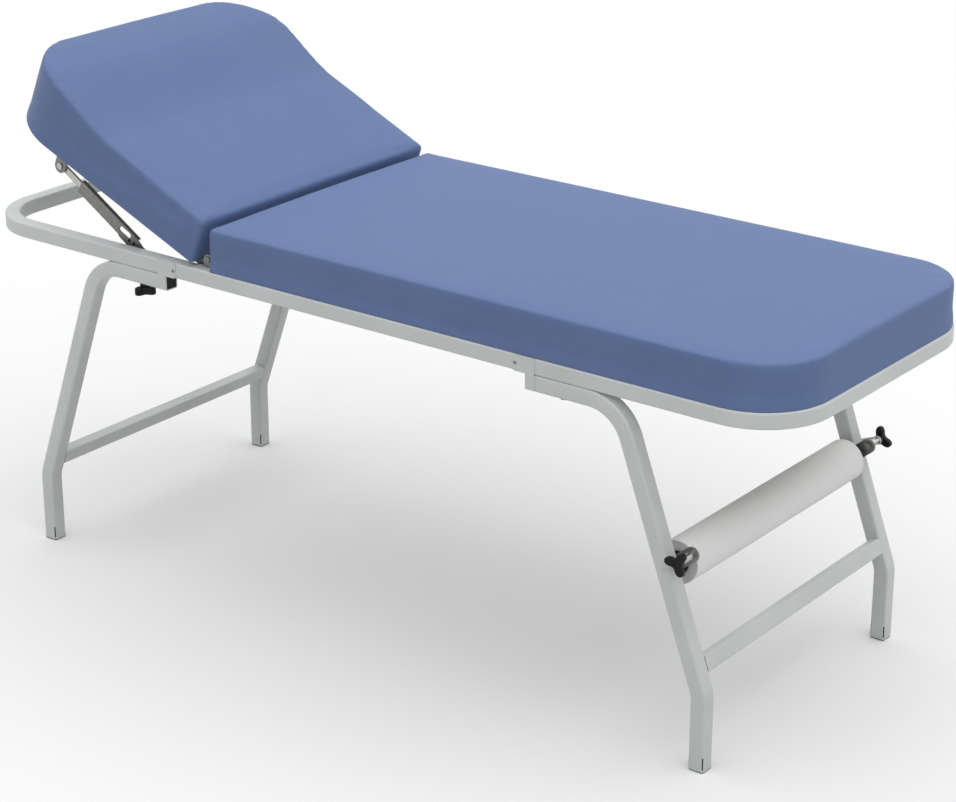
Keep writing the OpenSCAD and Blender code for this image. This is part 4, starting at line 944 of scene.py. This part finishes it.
boardScrew = {
    "Head radius": 5 * mm, "Head height": 2.9 * mm, "Socket radius": 2.2 * mm, "Shank radius": 2.45 * mm,
    "Shank length": 41.9 * mm, "Seed": 8,
}
footSpot = {"first": -297, "last": 680, "rows": 3, "y": 207.5, "z": 640}
footStep = (footSpot["last"] - footSpot["first"]) / (footSpot["rows"] - 1)
footSpots = [(footSpot["first"] + footStep * i, s * footSpot["y"], footSpot["z"])
             for i in range(footSpot["rows"]) for s in (-1, 1)]
screwSet("foot_board_screws_with_sockets", footSpots, [(0, 0, -1)] * len(footSpots), boardScrew,
         "table_frame", "foot_board_screws")

headScrew = dict(boardScrew, **{"Shank length": 14.9 * mm, "Seed": 11})
headSpot = {"straps": (275, (38, 68)), "lugs": (276.5, (377.5, 395.5)), "z": 668}
headSpots = [(x, s * y, headSpot["z"]) for y, xs in (headSpot["straps"], headSpot["lugs"])
             for x in xs for s in (-1, 1)]
screwSet("head_board_screws_with_sockets", [headPad["place"](p) for p in headSpots],
         [(0, 0, -1)] * len(headSpots), headScrew, "head_section", "head_board_screws", tilt)
print("screws made")


# White studio floor with its shadow, white surroundings, an overhead softbox and the photograph's view.
light = {"around": 0.19, "sun": 2.6, "spread": 120, "from": (0.13, -0.04, 1.0)}
ground = {"half": 30, "level": -0.0005}  # metres
view = {
    "lens": 96.763, "sensor": 36, "far": 100, "place": (2.81294, -3.59153, 2.18800), "pitch": 68.45,
    "heading": 37.40,
}


# Is 1 for rays that show a surface to the eye, directly, in a reflection or through glass.
def seenDirectly(tree):
    path = addNode(tree, "ShaderNodeLightPath").node.outputs
    seen = addNode(tree, "ShaderNodeMath", {"operation": "MAXIMUM"}, {
        0: path["Is Camera Ray"], 1: path["Is Glossy Ray"]})
    return addNode(tree, "ShaderNodeMath", {"operation": "MAXIMUM"}, {
        0: seen, 1: path["Is Transmission Ray"]})


def studioFloor():
    # Matt painted floor: near white with a barely visible mottle, greyer for the light it throws back.
    material, tree, place = newMaterial("matt_white_floor")
    cloud = addNode(tree, "ShaderNodeTexNoise", {"Scale": 2.0}, {"Vector": place})
    body = addNode(tree, "ShaderNodeMix", {
        "data_type": "RGBA", 6: linear("FFFFFF"), 7: linear("FDFDFD")}, {0: cloud}, 2)
    body = addNode(tree, "ShaderNodeMix", {
        "data_type": "RGBA", 6: linear("CCCCCC")}, {0: seenDirectly(tree), 7: body}, 2)
    return finishMaterial(material, {"Specular IOR Level": 0.0, "Roughness": 0.9}, {"Base Color": body})


floorMesh = bpy.data.meshes.new("studio_floor")
floorCorners = [(x * ground["half"], y * ground["half"], ground["level"])
                for x, y in ((-1, -1), (1, -1), (1, 1), (-1, 1))]
floorMesh.from_pydata(floorCorners, [], [(0, 1, 2, 3)])
floorMesh.materials.append(studioFloor())
floor = bpy.data.objects.new("studio_floor", floorMesh)
bpy.context.scene.collection.objects.link(floor)

world = bpy.data.worlds.new("studio")
bpy.context.scene.world = world
world.use_nodes = True
tree = world.node_tree
tree.nodes.clear()
strength = addNode(tree, "ShaderNodeMapRange", {"To Min": light["around"], "To Max": 1.0}, {
    "Value": seenDirectly(tree)})
sky = addNode(tree, "ShaderNodeBackground", {"Color": (1, 1, 1, 1)}, {"Strength": strength})
addNode(tree, "ShaderNodeOutputWorld", {}, {"Surface": sky})

softbox = bpy.data.lights.new("overhead_softbox", "SUN")
softbox.energy, softbox.angle = light["sun"], math.radians(light["spread"])
softboxObject = bpy.data.objects.new("overhead_softbox", softbox)
softboxObject.rotation_euler = Vector(light["from"]).to_track_quat("Z", "Y").to_euler()
bpy.context.scene.collection.objects.link(softboxObject)

camera = bpy.data.cameras.new("camera")
camera.lens, camera.sensor_width, camera.clip_end = view["lens"], view["sensor"], view["far"]
cameraObject = bpy.data.objects.new("camera", camera)
cameraObject.location = view["place"]
cameraObject.rotation_euler = (math.radians(view["pitch"]), 0, math.radians(view["heading"]))
bpy.context.scene.collection.objects.link(cameraObject)
bpy.context.scene.camera = cameraObject
bpy.context.scene.view_settings.view_transform = "Standard"
print("stage set")
